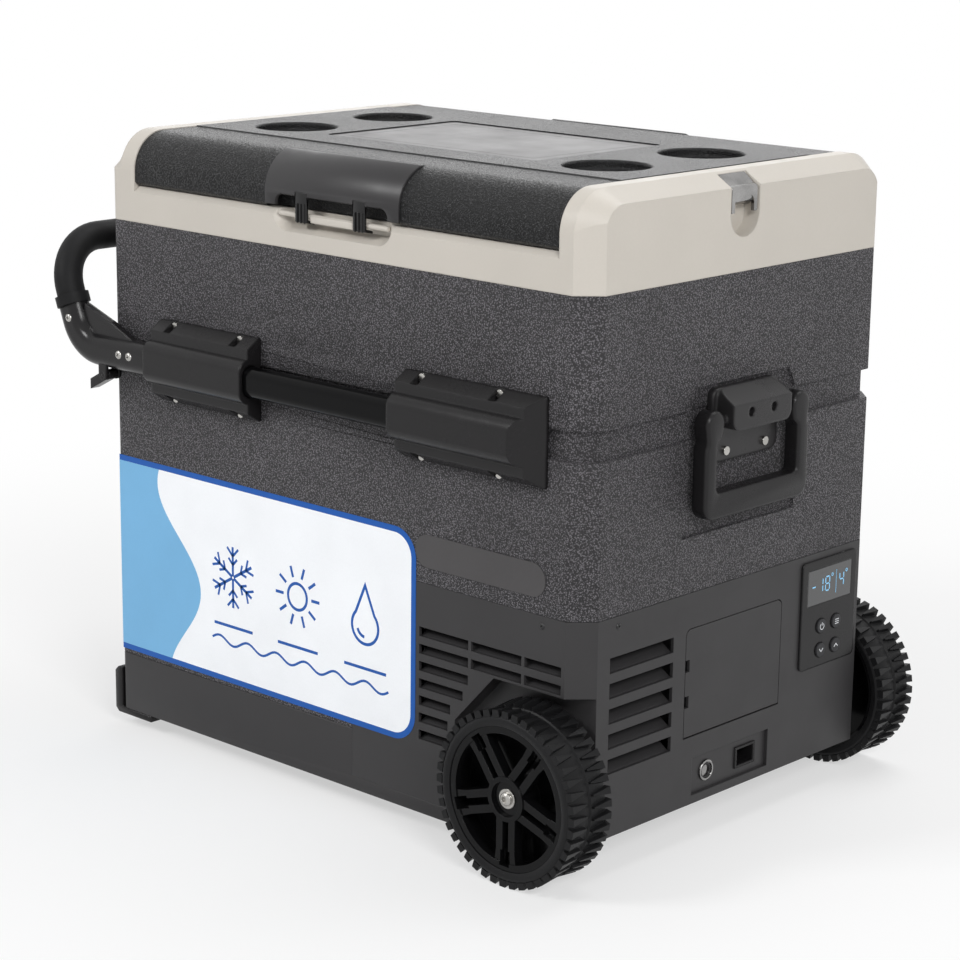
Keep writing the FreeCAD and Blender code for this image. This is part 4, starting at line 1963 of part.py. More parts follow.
def grip():
    """The tubular grip, modelled flat with its legs along X and then leaned over."""
    body = new_body("grip")
    leg, bend = S["grip_leg"], S["grip_bend"]
    half = HALF_WIDTH + S["rod_offset"]
    path = [(ZERO, -half), (leg, -half), arc(leg + bend, -half + bend, bend, 1),
            (leg + bend, half - bend), arc(leg, half, bend, 1), (ZERO, half)]
    pipe(body, "XY", ZERO, path, "YZ", ZERO, disc(-half, ZERO, S["grip_radius"]))
    collars = [disc(half * k, ZERO, S["grip_collar_radius"]) for k in (-1, 1)]
    prism(body, "YZ", collars, ZERO, S["grip_collar_length"])
    x, z = grip_root()
    lean = -90 - S["handle_lean"].value
    body.Placement = FreeCAD.Placement(Vector(0, 0, 0), FreeCAD.Rotation(Vector(0, 1, 0), lean))
    body.setExpression("Placement.Rotation.Angle", "-90 - Sizes.handle_lean")
    bind(body, "Placement.Base.x", x)
    bind(body, "Placement.Base.z", z)
    return body


# ---------------------------------------------------------------- the wheels

def wheel_rim(label):
    """A rim with five pairs of spokes. The outer side is at Y 0 and the axle runs along Y."""
    body = new_body(label)
    width = S["wheel_width"]
    inset = S["rim_inset"]
    bead = disc(ZERO, ZERO, S["tyre_bead_radius"])
    barrel = [bead, disc(ZERO, ZERO, S["tyre_bead_radius"] - S["rim_wall"])]
    prism(body, "XZ", barrel, inset, width - inset)
    prism(body, "XZ", [bead, disc(ZERO, ZERO, S["rim_open_radius"])], inset, inset + S["rim_flange"])
    web = inset + S["rim_web_depth"]
    prism(body, "XZ", [bead], web, web + S["rim_web"])
    prism(body, "XZ", [disc(ZERO, ZERO, S["hub_radius"])], inset, width - inset)
    offset = S["spoke_gap"] / 2
    outer = offset + S["spoke_width"]
    reach = S["tyre_bead_radius"] - S["rim_wall"] / 2
    start = S["hub_radius"] - S["spoke_root"]
    knee, flare = S["spoke_knee"], S["spoke_flare"]
    bars = []
    for side in (-1, 1):
        bars.append([(offset * side, -start), (outer * side, -start), (outer * side, -knee),
                     ((outer + flare) * side, -reach), ((offset + flare) * side, -reach),
                     (offset * side, -knee)])
    front = inset + S["spoke_set_back"]
    spokes = prism(body, "XZ", bars, front, front + S["spoke_depth"])
    polar(body, spokes, S["spoke_pairs"])
    notch = box_outline(-offset - flare, -S["rim_open_radius"] - S["rim_notch"], offset + flare, -knee)
    notches = cut(body, "XZ", [notch], inset, inset + S["rim_flange"])
    polar(body, notches, S["spoke_pairs"])
    cut(body, "XZ", [disc(ZERO, ZERO, S["hub_dish_radius"])], inset, hub_face())
    cut(body, "XZ", [disc(ZERO, ZERO, S["axle_radius"] + S["hub_bore_gap"])], hub_face(), width - inset)
    return body


def hub_face():
    """The dished face of the hub that the axle's end bolt holds."""
    return S["rim_inset"] + S["hub_dish"]


def toothed_outline(radius_low, radius_high, count, phase):
    """Points of a ring of lugs, as a closed polygon."""
    share, foot = S["lug_share"].value, S["lug_foot"].value
    points = []
    pitch = 2 * math.pi / count
    for tooth in range(count):
        middle = pitch * (tooth + phase)
        half = pitch * share / 2
        for angle, radius in ((middle - half * foot, radius_low), (middle - half, radius_high),
                              (middle + half, radius_high), (middle + half * foot, radius_low)):
            points.append(Vector(radius * math.sin(angle), 0, -radius * math.cos(angle)))
    return points + points[:1]


def tyre(label):
    """A solid tyre: smooth sides, and two rows of lugs set half a pitch apart."""
    count = int(S["lug_count"].value)
    width, bead = S["wheel_width"].value, S["tyre_bead_radius"].value
    side, groove = S["tyre_side_radius"].value, S["tyre_groove_radius"].value
    edge = S["tyre_edge"].value
    axis = Vector(0, 1, 0)
    solid = Part.makeCylinder(side, width, Vector(0, 0, 0), axis)
    solid = solid.fuse(Part.makeCylinder(groove, width - 2 * edge, Vector(0, edge, 0), axis))
    row = (width - 2 * edge - S["tyre_gap"].value) / 2
    foot = groove - S["lug_sink"].value
    for start, phase in ((edge, 0), (width - edge - row, 1 / 2)):
        outline = toothed_outline(foot, S["wheel_radius"].value, count, phase)
        lugs = Part.Face(Part.makePolygon(outline)).extrude(Vector(0, row, 0))
        lugs.translate(Vector(0, start, 0))
        solid = solid.fuse(lugs)
    solid = solid.cut(Part.makeCylinder(bead, width, Vector(0, 0, 0), axis))
    feature = doc.addObject("Part::Feature", label)
    feature.Label = label
    feature.Shape = solid.removeSplitter()
    return feature


def place_wheel(thing, side):
    """Side -1 is the front wheel, 1 the rear one, turned round to face outwards."""
    face = (HALF_WIDTH + S["wheel_face"]) * side
    place(thing, S["wheel_place"], face, S["wheel_radius"], 180 if side > 0 else 0)
    return thing


def axle():
    """The axle with a shoulder and an end bolt at each wheel."""
    body = new_body("axle")
    face = HALF_WIDTH + S["wheel_face"] - hub_face()
    x, z = S["wheel_place"], S["wheel_radius"]
    prism(body, "XZ", [disc(x, z, S["axle_radius"])], -face, face)
    arch = HALF_WIDTH - S["corner_cut"]
    hub_back = HALF_WIDTH + S["wheel_face"] - S["wheel_width"] + S["rim_inset"] - S["seal_gap"]
    radius = S["axle_shoulder"]
    bolt = S["nut_radius"]
    for side in (-1, 1):
        levels = sorted((arch * side, hub_back * side), key=amount)
        prism(body, "XZ", [disc(x, z, radius)], levels[0], levels[1])
        bolt_start = face + S["seal_gap"]
        levels = sorted((bolt_start * side, (bolt_start + S["nut_height"]) * side), key=amount)
        prism(body, "XZ", [hexagon(x, z, bolt)], levels[0], levels[1])
        levels = sorted((face * side, bolt_start * side), key=amount)
        prism(body, "XZ", [disc(x, z, S["axle_radius"])], levels[0], levels[1])
    return body


def hexagon(x, z, radius):
    half = radius / 2
    side = radius * math.sqrt(0.75)
    return [(x + radius, z), (x + half, z + side), (x - half, z + side),
            (x - radius, z), (x - half, z - side), (x + half, z - side)]


# ---------------------------------------------------------------- the whole part

def build_everything():
    parts = [outer_shell(), foam_insulation(), liner("liner_left", -1), liner("liner_right", 1),
             evaporator_plates(), base_tray(), machine_housing(), battery_door(), battery_bay(),
             battery_pack(), socket_panel(), power_sockets(), control_panel(), control_display()]
    parts += [control_button(name, y, z) for name, y, z in button_places()]
    parts += [top_frame(), catch_bars(), bottle_opener()]
    for side, end_name in ((-1, "left"), (1, "right")):
        for y_sign, face_name in ((-1, "front"), (1, "rear")):
            parts.append(rod_bracket("bracket_%s_%s" % (face_name, end_name), side, y_sign))
    parts += [case_screws(), handle_plate(), drop_handle(), label_sheet(), badge_strip(),
              corner_feet(), rubber_feet()]
    parts += [mounting_deck(), compressor(), compressor_mounts(), condenser_tubes(), condenser_fins(),
              fan_frame(), fan_rotor(), refrigerant_pipes(), power_module()]
    parts += [lid_shell(), lid_panel(), lid_pan(), lid_insulation(), lid_seal(), latch_pins(),
              latch("latch_front", -1), latch("latch_rear", 1)]
    parts += [pull_rods(), handle_elbows(), grip(), release_lever("release_lever_front", -1),
              release_lever("release_lever_rear", 1)]
    for side, name in ((-1, "front"), (1, "rear")):
        parts.append(place_wheel(wheel_rim("rim_" + name), side))
        parts.append(place_wheel(tyre("tyre_" + name), side))
    parts.append(axle())
    return parts


def centre_along(parts):
    """Move everything so that the whole object is centred along X."""
    root_x, root_z = grip_root()
    along, up = lean_parts()
    left = root_x + (S["grip_leg"] + S["grip_bend"]) * along - S["grip_radius"]
    right = S["wheel_place"] + S["wheel_radius"]
    shift = -(left + right) / 2
    for part in parts:
        held = dict(part.ExpressionEngine).get("Placement.Base.x") or dict(part.ExpressionEngine).get(
            ".Placement.Base.x")
        part.setExpression("Placement.Base.x", "%s + %s" % (held, shift.text) if held else shift.text)


def check_and_export(parts):
    doc.recompute()
    bad = [o.Label for o in doc.Objects if "Invalid" in o.State or "Error" in o.State]
    if bad:
        raise RuntimeError("features that did not compute: %s" % bad)
    os.makedirs("parts", exist_ok=True)
    for part in parts:
        if part.Shape.isNull() or not part.Shape.isValid():
            raise RuntimeError("no valid shape: " + part.Label)
    for part in parts:
        part.Shape.exportStep("parts/%s.step" % part.Label)
        print("%-22s solids %3d  volume %10.1f" % (part.Label, len(part.Shape.Solids), part.Shape.Volume))


everything = build_everything()
centre_along(everything)
check_and_export(everything)
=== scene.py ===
"""Looks of a wheeled compressor cooler chest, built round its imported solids."""

import json
import math

import bmesh
import bpy
from mathutils import Matrix, Vector

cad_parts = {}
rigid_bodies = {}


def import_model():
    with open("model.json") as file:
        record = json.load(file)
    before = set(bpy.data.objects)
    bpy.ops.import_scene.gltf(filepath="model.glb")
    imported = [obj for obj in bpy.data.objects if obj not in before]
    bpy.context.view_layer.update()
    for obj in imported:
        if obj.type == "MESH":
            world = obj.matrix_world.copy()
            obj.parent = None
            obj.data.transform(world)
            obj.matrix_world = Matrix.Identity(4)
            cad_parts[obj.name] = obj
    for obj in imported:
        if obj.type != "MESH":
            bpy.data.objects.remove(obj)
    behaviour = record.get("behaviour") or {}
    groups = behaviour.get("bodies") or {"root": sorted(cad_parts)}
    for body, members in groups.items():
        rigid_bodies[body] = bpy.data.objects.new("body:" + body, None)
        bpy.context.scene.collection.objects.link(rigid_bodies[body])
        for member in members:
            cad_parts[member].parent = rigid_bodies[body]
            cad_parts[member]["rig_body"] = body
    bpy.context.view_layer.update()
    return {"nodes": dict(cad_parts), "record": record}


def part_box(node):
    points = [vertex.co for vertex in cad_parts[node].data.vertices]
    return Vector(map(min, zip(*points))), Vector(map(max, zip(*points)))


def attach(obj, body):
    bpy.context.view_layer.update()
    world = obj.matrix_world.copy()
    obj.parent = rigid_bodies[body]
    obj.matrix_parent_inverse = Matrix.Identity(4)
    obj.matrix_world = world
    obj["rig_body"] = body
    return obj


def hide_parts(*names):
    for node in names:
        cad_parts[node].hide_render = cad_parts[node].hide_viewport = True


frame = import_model()
NODES = frame["nodes"]
MM = 0.001
SMALL_SHARP = 40    # degrees; edges of small pieces that turn more than this stay sharp
ROUND_SHARP = 30    # the same for turned pieces
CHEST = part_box("outer_shell")
CHEST_MIDDLE = (CHEST[0][0] + CHEST[1][0]) / 2


# ---------------------------------------------------------------- materials

def linear(colour):
    """sRGB from 0 to 255 as linear RGBA."""
    out = []
    for value in colour:
        value = value / 255
        out.append(value / 12.92 if value <= 0.04045 else ((value + 0.055) / 1.055) ** 2.4)
    return (*out, 1)


class Shader:
    """A material with a few helpers for its nodes."""

    def __init__(self, name):
        self.material = bpy.data.materials.new(name)
        self.material.use_nodes = True
        self.tree = self.material.node_tree
        self.tree.nodes.clear()
        output = self.tree.nodes.new("ShaderNodeOutputMaterial")
        self.surface = self.tree.nodes.new("ShaderNodeBsdfPrincipled")
        self.link(self.surface.outputs["BSDF"], output.inputs["Surface"])
        self.place = self.tree.nodes.new("ShaderNodeTexCoord").outputs["Object"]

    def link(self, source, target):
        self.tree.links.new(source, target)

    def put(self, value, socket):
        if isinstance(value, bpy.types.NodeSocket):
            self.link(value, socket)
        else:
            socket.default_value = value

    def node(self, kind, **settings):
        made = self.tree.nodes.new(kind)
        for key, value in settings.items():
            setattr(made, key, value)
        return made

    def stretch(self, scale):
        """The object's coordinates, stretched."""
        made = self.node("ShaderNodeMapping")
        self.link(self.place, made.inputs["Vector"])
        made.inputs["Scale"].default_value = scale
        return made.outputs["Vector"]

    def noise(self, scale, detail=3, rough=0.5, vector=None):
        """Soft noise; scale is in waves per metre."""
        made = self.node("ShaderNodeTexNoise")
        self.link(vector or self.place, made.inputs["Vector"])
        made.inputs["Scale"].default_value = scale
        made.inputs["Detail"].default_value = detail
        made.inputs["Roughness"].default_value = rough
        return made.outputs["Fac"]

    def cells(self, scale, feature="F1", smooth=0.3, vector=None):
        """The distance to the middle of the nearest cell."""
        made = self.node("ShaderNodeTexVoronoi", feature=feature)
        self.link(vector or self.place, made.inputs["Vector"])
        made.inputs["Scale"].default_value = scale
        if feature == "SMOOTH_F1":
            made.inputs["Smoothness"].default_value = smooth
        return made.outputs["Distance"]

    def span(self, value, low, high, start=0, end=1, smooth=False):
        """A value between low and high, spread from start to end."""
        made = self.node("ShaderNodeMapRange")
        made.interpolation_type = "SMOOTHSTEP" if smooth else "LINEAR"
        self.put(value, made.inputs["Value"])
        made.inputs["From Min"].default_value = low
        made.inputs["From Max"].default_value = high
        made.inputs["To Min"].default_value = start
        made.inputs["To Max"].default_value = end
        return made.outputs["Result"]

    def math(self, operation, first, second=0.0, clamp=False):
        made = self.node("ShaderNodeMath", operation=operation, use_clamp=clamp)
        self.put(first, made.inputs[0])
        self.put(second, made.inputs[1])
        return made.outputs["Value"]

    def blend(self, share, first, second, mode="MIX"):
        made = self.node("ShaderNodeMix", data_type="RGBA", blend_type=mode)
        self.put(share, made.inputs["Factor"])
        self.put(first, made.inputs["A"])
        self.put(second, made.inputs["B"])
        return made.outputs["Result"]

    def bump(self, height, strength, distance, before=None):
        made = self.node("ShaderNodeBump")
        made.inputs["Strength"].default_value = strength
        made.inputs["Distance"].default_value = distance
        self.link(height, made.inputs["Height"])
        if before:
            self.link(before, made.inputs["Normal"])
        return made.outputs["Normal"]

    def round_edges(self, radius):
        made = self.node("ShaderNodeBevel", samples=4)
        made.inputs["Radius"].default_value = radius
        return made.outputs["Normal"]

    def finish(self, colour, roughness, normal=None, **fixed):
        self.put(colour, self.surface.inputs["Base Color"])
        self.put(roughness, self.surface.inputs["Roughness"])
        if normal:
            self.link(normal, self.surface.inputs["Normal"])
        for key, value in fixed.items():
            self.surface.inputs[key.replace("_", " ")].default_value = value
        return self.material


def worn(shader, colour, amount=0.12, scale=14):
    """Slow unevenness of a moulded colour: faint blotches and finer flecks."""
    blotch = shader.span(shader.noise(scale, 3), 0.3, 0.7, 1 - amount, 1 + amount)
    fleck = shader.span(shader.noise(scale * 40, 2), 0.3, 0.7, 1 - amount / 2, 1 + amount / 2)
    gain = shader.math("MULTIPLY", blotch, fleck)
    made = shader.node("ShaderNodeVectorMath", operation="SCALE")
    shader.put(colour if isinstance(colour, bpy.types.NodeSocket) else colour[:3], made.inputs[0])
    shader.link(gain, made.inputs["Scale"])
    return made.outputs["Vector"]


def grained(name, colour, cell, depth, rough, light=1.5, edge=0.6 * MM, amount=0.1, specular=0.3,
            dim=0.5):
    """Moulded plastic with a crinkled leather grain: cells about `cell` metres wide, the raised tops painted
    lighter as painted highlight and the hollows darker as painted shade, with painted glints on some tops.
    """
    s = Shader(name)
    twist = s.node("ShaderNodeVectorMath", operation="ADD")
    swirl = s.node("ShaderNodeTexNoise")
    s.link(s.place, swirl.inputs["Vector"])
    swirl.inputs["Scale"].default_value = 0.9 / cell
    shift = s.node("ShaderNodeVectorMath", operation="SCALE")
    s.link(swirl.outputs["Color"], shift.inputs[0])
    shift.inputs["Scale"].default_value = cell * 0.9
    s.link(s.place, twist.inputs[0])
    s.link(shift.outputs[0], twist.inputs[1])
    pebble = s.cells(1 / cell, "SMOOTH_F1", 0.5, twist.outputs[0])
    fine = s.noise(3.2 / cell, 3, 0.65)
    height = s.math("ADD", s.span(pebble, 0.05, 0.6, 1, 0), s.math("MULTIPLY", fine, 0.9))
    # top marks the grain's raised tops; below they get a painted highlight (light sets it) and the hollows
    # painted shade (dim sets it).
    top = s.span(height, 0.5, 1.2, 0, 1, True)
    # fleck picks some raised tops for a painted glint, a highlight put into the colour rather than lit.
    fleck = s.span(s.noise(2.2 / cell, 2, 0.7), 0.46, 0.68, 0, 1, True)
    colour = linear(colour)
    painted_lit_tone = tuple(min(1, c * light) for c in colour[:3]) + (1,)
    dark = tuple(c * dim for c in colour[:3]) + (1,)
    painted_glint_tone = tuple(min(1, c * light * 1.7) for c in colour[:3]) + (1,)
    tone = s.blend(s.math("MULTIPLY", fleck, s.span(top, 0.5, 1)), s.blend(top, dark, painted_lit_tone), painted_glint_tone)
    tone = worn(s, tone, amount)
    roughness = s.math("ADD", s.span(top, 0, 1, rough + 0.14, rough - 0.1),
                       s.span(s.noise(9, 2), 0.3, 0.7, -0.04, 0.04))
    normal = s.bump(height, 1, depth, s.round_edges(edge))
    return s.finish(tone, roughness, normal, Specular_IOR_Level=specular)


def satin(name, colour, rough, edge=0.6 * MM, grain=0.02 * MM, amount=0.06, coat=0, specular=0.25):
    """Smooth moulded plastic: a very fine spark-eroded skin, slow waviness and faint handling marks."""
    s = Shader(name)
    tone = worn(s, linear(colour), amount)
    fine = s.noise(2600, 2, 0.6)
    slow = s.noise(30, 2)
    smear = s.span(s.noise(24, 4, 0.6), 0.35, 0.7, -0.05, 0.07)
    roughness = s.math("ADD", s.math("ADD", smear, s.span(fine, 0.3, 0.7, -0.03, 0.03)), rough)
    normal = s.bump(slow, 0.15, 0.6 * MM, s.round_edges(edge))
    normal = s.bump(fine, 0.8, grain, normal)
    fixed = {"Specular_IOR_Level": specular}
    if coat:
        fixed.update(Coat_Weight=coat, Coat_Roughness=0.12)
    return s.finish(tone, roughness, normal, **fixed)


def metal(name, colour, rough, edge=0.4 * MM, brush=0.0, blotch=0.05):
    """Bare metal with fine drawn lines and uneven polish."""
    s = Shader(name)
    tone = worn(s, linear(colour), blotch, 40)
    lines = s.noise(1, 3, 0.7, s.stretch((60, 2500, 2500)))
    roughness = s.math("ADD", s.span(lines, 0.3, 0.7, -brush, brush), s.math(
        "ADD", s.span(s.noise(120, 3), 0.3, 0.7, -0.04, 0.06), rough))
    normal = s.bump(lines, 0.4 if brush else 0.05, 0.02 * MM, s.round_edges(edge))
    return s.finish(tone, roughness, normal, Metallic=1.0)


def foam_skin():
    """Cut foam with open cells."""
    s = Shader("foam")
    holes = s.cells(700)
    # The open cells are painted darker than the walls between them: painted shade in the holes.
    tone = s.blend(s.span(holes, 0, 0.5), linear((196, 178, 118)), linear((228, 214, 160)))
    return s.finish(worn(s, tone, 0.1), 0.85, s.bump(holes, 0.8, 0.5 * MM))


def rubber(name, colour, rough):
    """Rubber with pits and a little dust."""
    s = Shader(name)
    tone = worn(s, linear(colour), 0.15, 20)
    pits = s.cells(1500, "SMOOTH_F1", 0.5)
    normal = s.bump(pits, 0.7, 0.12 * MM, s.round_edges(0.5 * MM))
    dust = s.span(s.noise(60, 4, 0.65), 0.45, 0.75, 0, 0.08)
    return s.finish(tone, s.math("ADD", dust, rough), normal, Specular_IOR_Level=0.14)


def display_glass():
    """A dark window with faint smears under a clear coat."""
    s = Shader("display_glass")
    smear = s.span(s.noise(50, 4, 0.6), 0.35, 0.75, 0.05, 0.16)
    tone = worn(s, linear((10, 13, 18)), 0.2)
    return s.finish(tone, smear, s.round_edges(0.4 * MM), Coat_Weight=1.0, Coat_Roughness=0.04)


def printed(name, colour):
    """Printed vinyl: fine dots of ink, a faint orange peel and a slight sheen."""
    s = Shader(name)
    tone = worn(s, linear(colour), 0.025, 18)
    peel = s.noise(420, 2)
    normal = s.bump(peel, 0.25, 0.05 * MM)
    return s.finish(tone, s.span(s.noise(26, 4), 0.3, 0.7, 0.3, 0.4), normal, Specular_IOR_Level=0.3)


def lid_panel_skin():
    """The smooth panel in the lid, with a fine groove running round inside its edge, the groove painted dark
    as painted shade.
    """
    s = Shader("badge_smooth")
    low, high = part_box("lid_panel")
    inset = 15 * MM
    apart = s.node("ShaderNodeSeparateXYZ")
    s.link(s.place, apart.inputs[0])
    middle = [(low[i] + high[i]) / 2 for i in range(2)]
    half = [(high[i] - low[i]) / 2 - inset for i in range(2)]
    sides = [s.math("SUBTRACT", s.math("ABSOLUTE", s.math("SUBTRACT", apart.outputs[i], middle[i])), half[i])
             for i in range(2)]
    beside = s.math("ABSOLUTE", s.math("MAXIMUM", sides[0], sides[1]))
    groove = s.span(beside, 0.3 * MM, 1.1 * MM, 0, 1, True)
    fine = s.noise(2200, 2, 0.6)
    slow = s.noise(26, 2)
    # The groove's line is painted dark: painted shade where the groove lies in shadow, besides the groove's
    # bump.
    tone = worn(s, s.blend(groove, linear((30, 30, 31)), linear((66, 64, 65))), 0.05)
    rough = s.math("ADD", s.span(s.noise(18, 4, 0.6), 0.35, 0.7, -0.04, 0.06), 0.4)
    normal = s.bump(slow, 0.2, 0.6 * MM, s.round_edges(0.6 * MM))
    normal = s.bump(fine, 0.8, 0.02 * MM, normal)
    normal = s.bump(groove, 1, 0.5 * MM, normal)
    return s.finish(tone, rough, normal, Specular_IOR_Level=0.5)


MATERIALS = {
    # The two grained materials carry painted light: painted highlights on the grain's tops, painted shade in
    # its hollows and painted glints, set by the light figures 1.75 and 2.4 and by dim.
    "textured_charcoal": grained("textured_charcoal", (82, 80, 83), 1.35 * MM, 0.6 * MM, 0.42, 1.75,
                                 dim=0.28),
    "smooth_charcoal": satin("smooth_charcoal", (50, 49, 50), 0.42, amount=0.05, specular=0.3),
    "black_bracket": satin("black_bracket", (27, 26, 27), 0.23, edge=2.6 * MM, specular=0.24),
    "warm_grey": satin("warm_grey", (196, 190, 181), 0.42, amount=0.02, edge=1.6 * MM, specular=0.4),
    "lid_black": grained("lid_black", (26, 26, 27), 1.5 * MM, 0.4 * MM, 0.2, 2.4, edge=1.2 * MM,
                         specular=0.2, dim=0.3),
    "foam": foam_skin(),
    "liner_grey": satin("liner_grey", (205, 208, 211), 0.35, amount=0.03, specular=0.5),
    "aluminium_sheet": metal("aluminium_sheet", (190, 192, 195), 0.35, brush=0.08),
    "steel": metal("steel", (176, 174, 170), 0.24, brush=0.04, blotch=0.15),
    # The chrome is darker and more blotched than bare chrome: painted dark reflections, besides its uneven
    # polish.
    "chrome_metal": metal("chrome_metal", (152, 151, 150), 0.1, blotch=0.25),
    "compressor_black": satin("compressor_black", (24, 24, 25), 0.25, coat=0.4, specular=0.5),
    "copper": metal("copper", (186, 110, 72), 0.32, blotch=0.12),
    "black_rubber": rubber("black_rubber", (25, 25, 26), 0.55),
    "wheel_rim": satin("wheel_rim", (12, 12, 13), 0.18, specular=0.14),
    "wheel_tyre": rubber("wheel_tyre", (25, 25, 26), 0.38),
    "display_glass": display_glass(),
    "label_print": printed("label_print", (246, 248, 251)),
    "badge_smooth": lid_panel_skin(),
    "battery_case": satin("battery_case", (56, 60, 66), 0.5),
    "key_plastic": satin("key_plastic", (48, 48, 50), 0.5),
}
GLOSSY_BLACK = satin("glossy_black", (8, 8, 9), 0.16, specular=0.1)
HOOK_BLACK = satin("hook_black", (12, 12, 13), 0.3, specular=0.35)
DARK_SCREW = satin("dark_screw", (30, 30, 31), 0.35, specular=0.4)
PLATE_BLACK = satin("plate_black", (38, 37, 38), 0.3, edge=3 * MM, specular=0.3)
COVER_GREY = satin("cover_grey", (50, 49, 50), 0.36, specular=0.25)
DIGITS = printed("display_digits", (150, 214, 255))
KEY_MARKS = printed("key_marks", (214, 216, 219))
LABEL_BLUE = printed("label_blue", (8, 84, 168))
LABEL_SKY = printed("label_sky", (118, 178, 220))
BADGE = satin("badge_strip", (66, 64, 65), 0.42, specular=0.4)

for part in frame["record"]["subparts"]:
    thing = NODES[part["node"]]
    thing.data.materials.clear()
    thing.data.materials.append(MATERIALS[part["material_slot"]])
NODES["pull_rods"].data.materials[0] = GLOSSY_BLACK
NODES["badge_strip"].data.materials[0] = BADGE
NODES["handle_plate"].data.materials[0] = PLATE_BLACK


# ---------------------------------------------------------------- rounded copies of the solids

def rounded_copy(node, width, segments=2, angle=32):
    """The same piece with its sharp edges rounded; it takes the place of the plain solid."""
    source = NODES[node]
    mesh = source.data.copy()
    mesh.name = node + "_soft"
    work = bmesh.new()
    work.from_mesh(mesh)
    bmesh.ops.remove_doubles(work, verts=work.verts, dist=0.01 * MM)
    bmesh.ops.dissolve_limit(work, angle_limit=math.radians(0.8), verts=work.verts, edges=work.edges,
                             use_dissolve_boundaries=False)
    work.to_mesh(mesh)
    work.free()
    piece = bpy.data.objects.new(node + "_soft", mesh)
    bpy.context.scene.collection.objects.link(piece)
    bevel = piece.modifiers.new("Edges", "BEVEL")
    bevel.width = width
    bevel.segments = segments
    bevel.limit_method = "ANGLE"
    bevel.angle_limit = math.radians(angle)
    bevel.use_clamp_overlap = False
    bevel.miter_outer = "MITER_ARC"
    apply_modifiers(piece)
    piece.data.polygons.foreach_set("use_smooth", [True] * len(piece.data.polygons))
    piece.data.set_sharp_from_angle(angle=math.radians(angle))
    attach(piece, source["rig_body"])
    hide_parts(node)
    return piece


def apply_modifiers(piece):
    """Turns what the modifiers make into the piece's own mesh."""
    bpy.context.view_layer.update()
    held = bpy.context.evaluated_depsgraph_get()
    mesh = bpy.data.meshes.new_from_object(piece.evaluated_get(held))
    old = piece.data
    piece.modifiers.clear()
    piece.data = mesh
    mesh.name = piece.name
    bpy.data.meshes.remove(old)


# ---------------------------------------------------------------- stage, light and camera

LENS = 99                              # mm on a 36 mm sensor
CAMERA_TURNS = (42.85, 14.01, 0.72)    # degrees: round the chest, downwards, and about its own axis
CAMERA_PLACE = (1.5007, -1.6276, 0.7958)    # metres from the floor below the chest's middle
LAMPS = (    # name, place, target, size in metres, watts
    ("key", (-1.5, -3.0, 2.7), (0, 0, 0.3), (1.1, 0.9), 60),
    ("fill", (2.8, -1.5, 2.0), (0, 0, 0.3), (1.2, 1.0), 62),
    ("top", (0.2, 1.2, 3.2), (0, 0, 0.4), (2.0, 2.0), 42),
    ("rim", (-2.1, 2.5, 1.5), (0, 0, 0.5), (2.2, 1.0), 9),
)
WORLD_LIGHT = 0.3                      # strength of the sky on matt surfaces
FLOOR_SIZE = 9
FLOOR_TONE = 0.88
SHADOW_NEAR, SHADOW_FAR = 0.35, 1.3    # metres; the floor turns to plain white in between


def make_camera():
    """The camera looks down on the corner between the front and the wheel end."""
    data = bpy.data.cameras.new("Camera")
    camera = bpy.data.objects.new("Camera", data)
    bpy.context.scene.collection.objects.link(camera)
    data.sensor_width = 36
    data.lens = LENS
    data.clip_end = 100
    yaw, pitch, roll = (math.radians(turn) for turn in CAMERA_TURNS)
    back = Vector((math.sin(yaw) * math.cos(pitch), -math.cos(yaw) * math.cos(pitch), math.sin(pitch)))
    right = (-back).cross(Vector((0, 0, 1))).normalized()
    up = right.cross(-back)
    turned = math.cos(roll) * right + math.sin(roll) * up
    raised = -math.sin(roll) * right + math.cos(roll) * up
    across, along, up_to = CAMERA_PLACE
    place = Vector((CHEST_MIDDLE + across, along, up_to))
    camera.matrix_world = Matrix((
        (turned.x, raised.x, back.x, place.x), (turned.y, raised.y, back.y, place.y),
        (turned.z, raised.z, back.z, place.z), (0, 0, 0, 1)))
    bpy.context.scene.camera = camera


def panel_light(name, place, target, size, power):
    """A white rectangular lamp that faces its target and isn't seen itself."""
    data = bpy.data.lights.new(name, "AREA")
    data.shape = "RECTANGLE"
    data.size, data.size_y = size
    data.energy = power
    lamp = bpy.data.objects.new(name, data)
    bpy.context.scene.collection.objects.link(lamp)
    lamp.location = place
    lamp.visible_camera = False
    lamp.rotation_euler = (Vector(target) - Vector(place)).to_track_quat("-Z", "Y").to_euler()


def shown_rays(tree):
    """1 for rays from the camera and for those that mirrors and glass send on."""
    path = tree.nodes.new("ShaderNodeLightPath")
    value = path.outputs["Is Camera Ray"]
    for name in ("Is Glossy Ray", "Is Transmission Ray"):
        larger = tree.nodes.new("ShaderNodeMath")
        larger.operation = "MAXIMUM"
        tree.links.new(value, larger.inputs[0])
        tree.links.new(path.outputs[name], larger.inputs[1])
        value = larger.outputs[0]
    return value


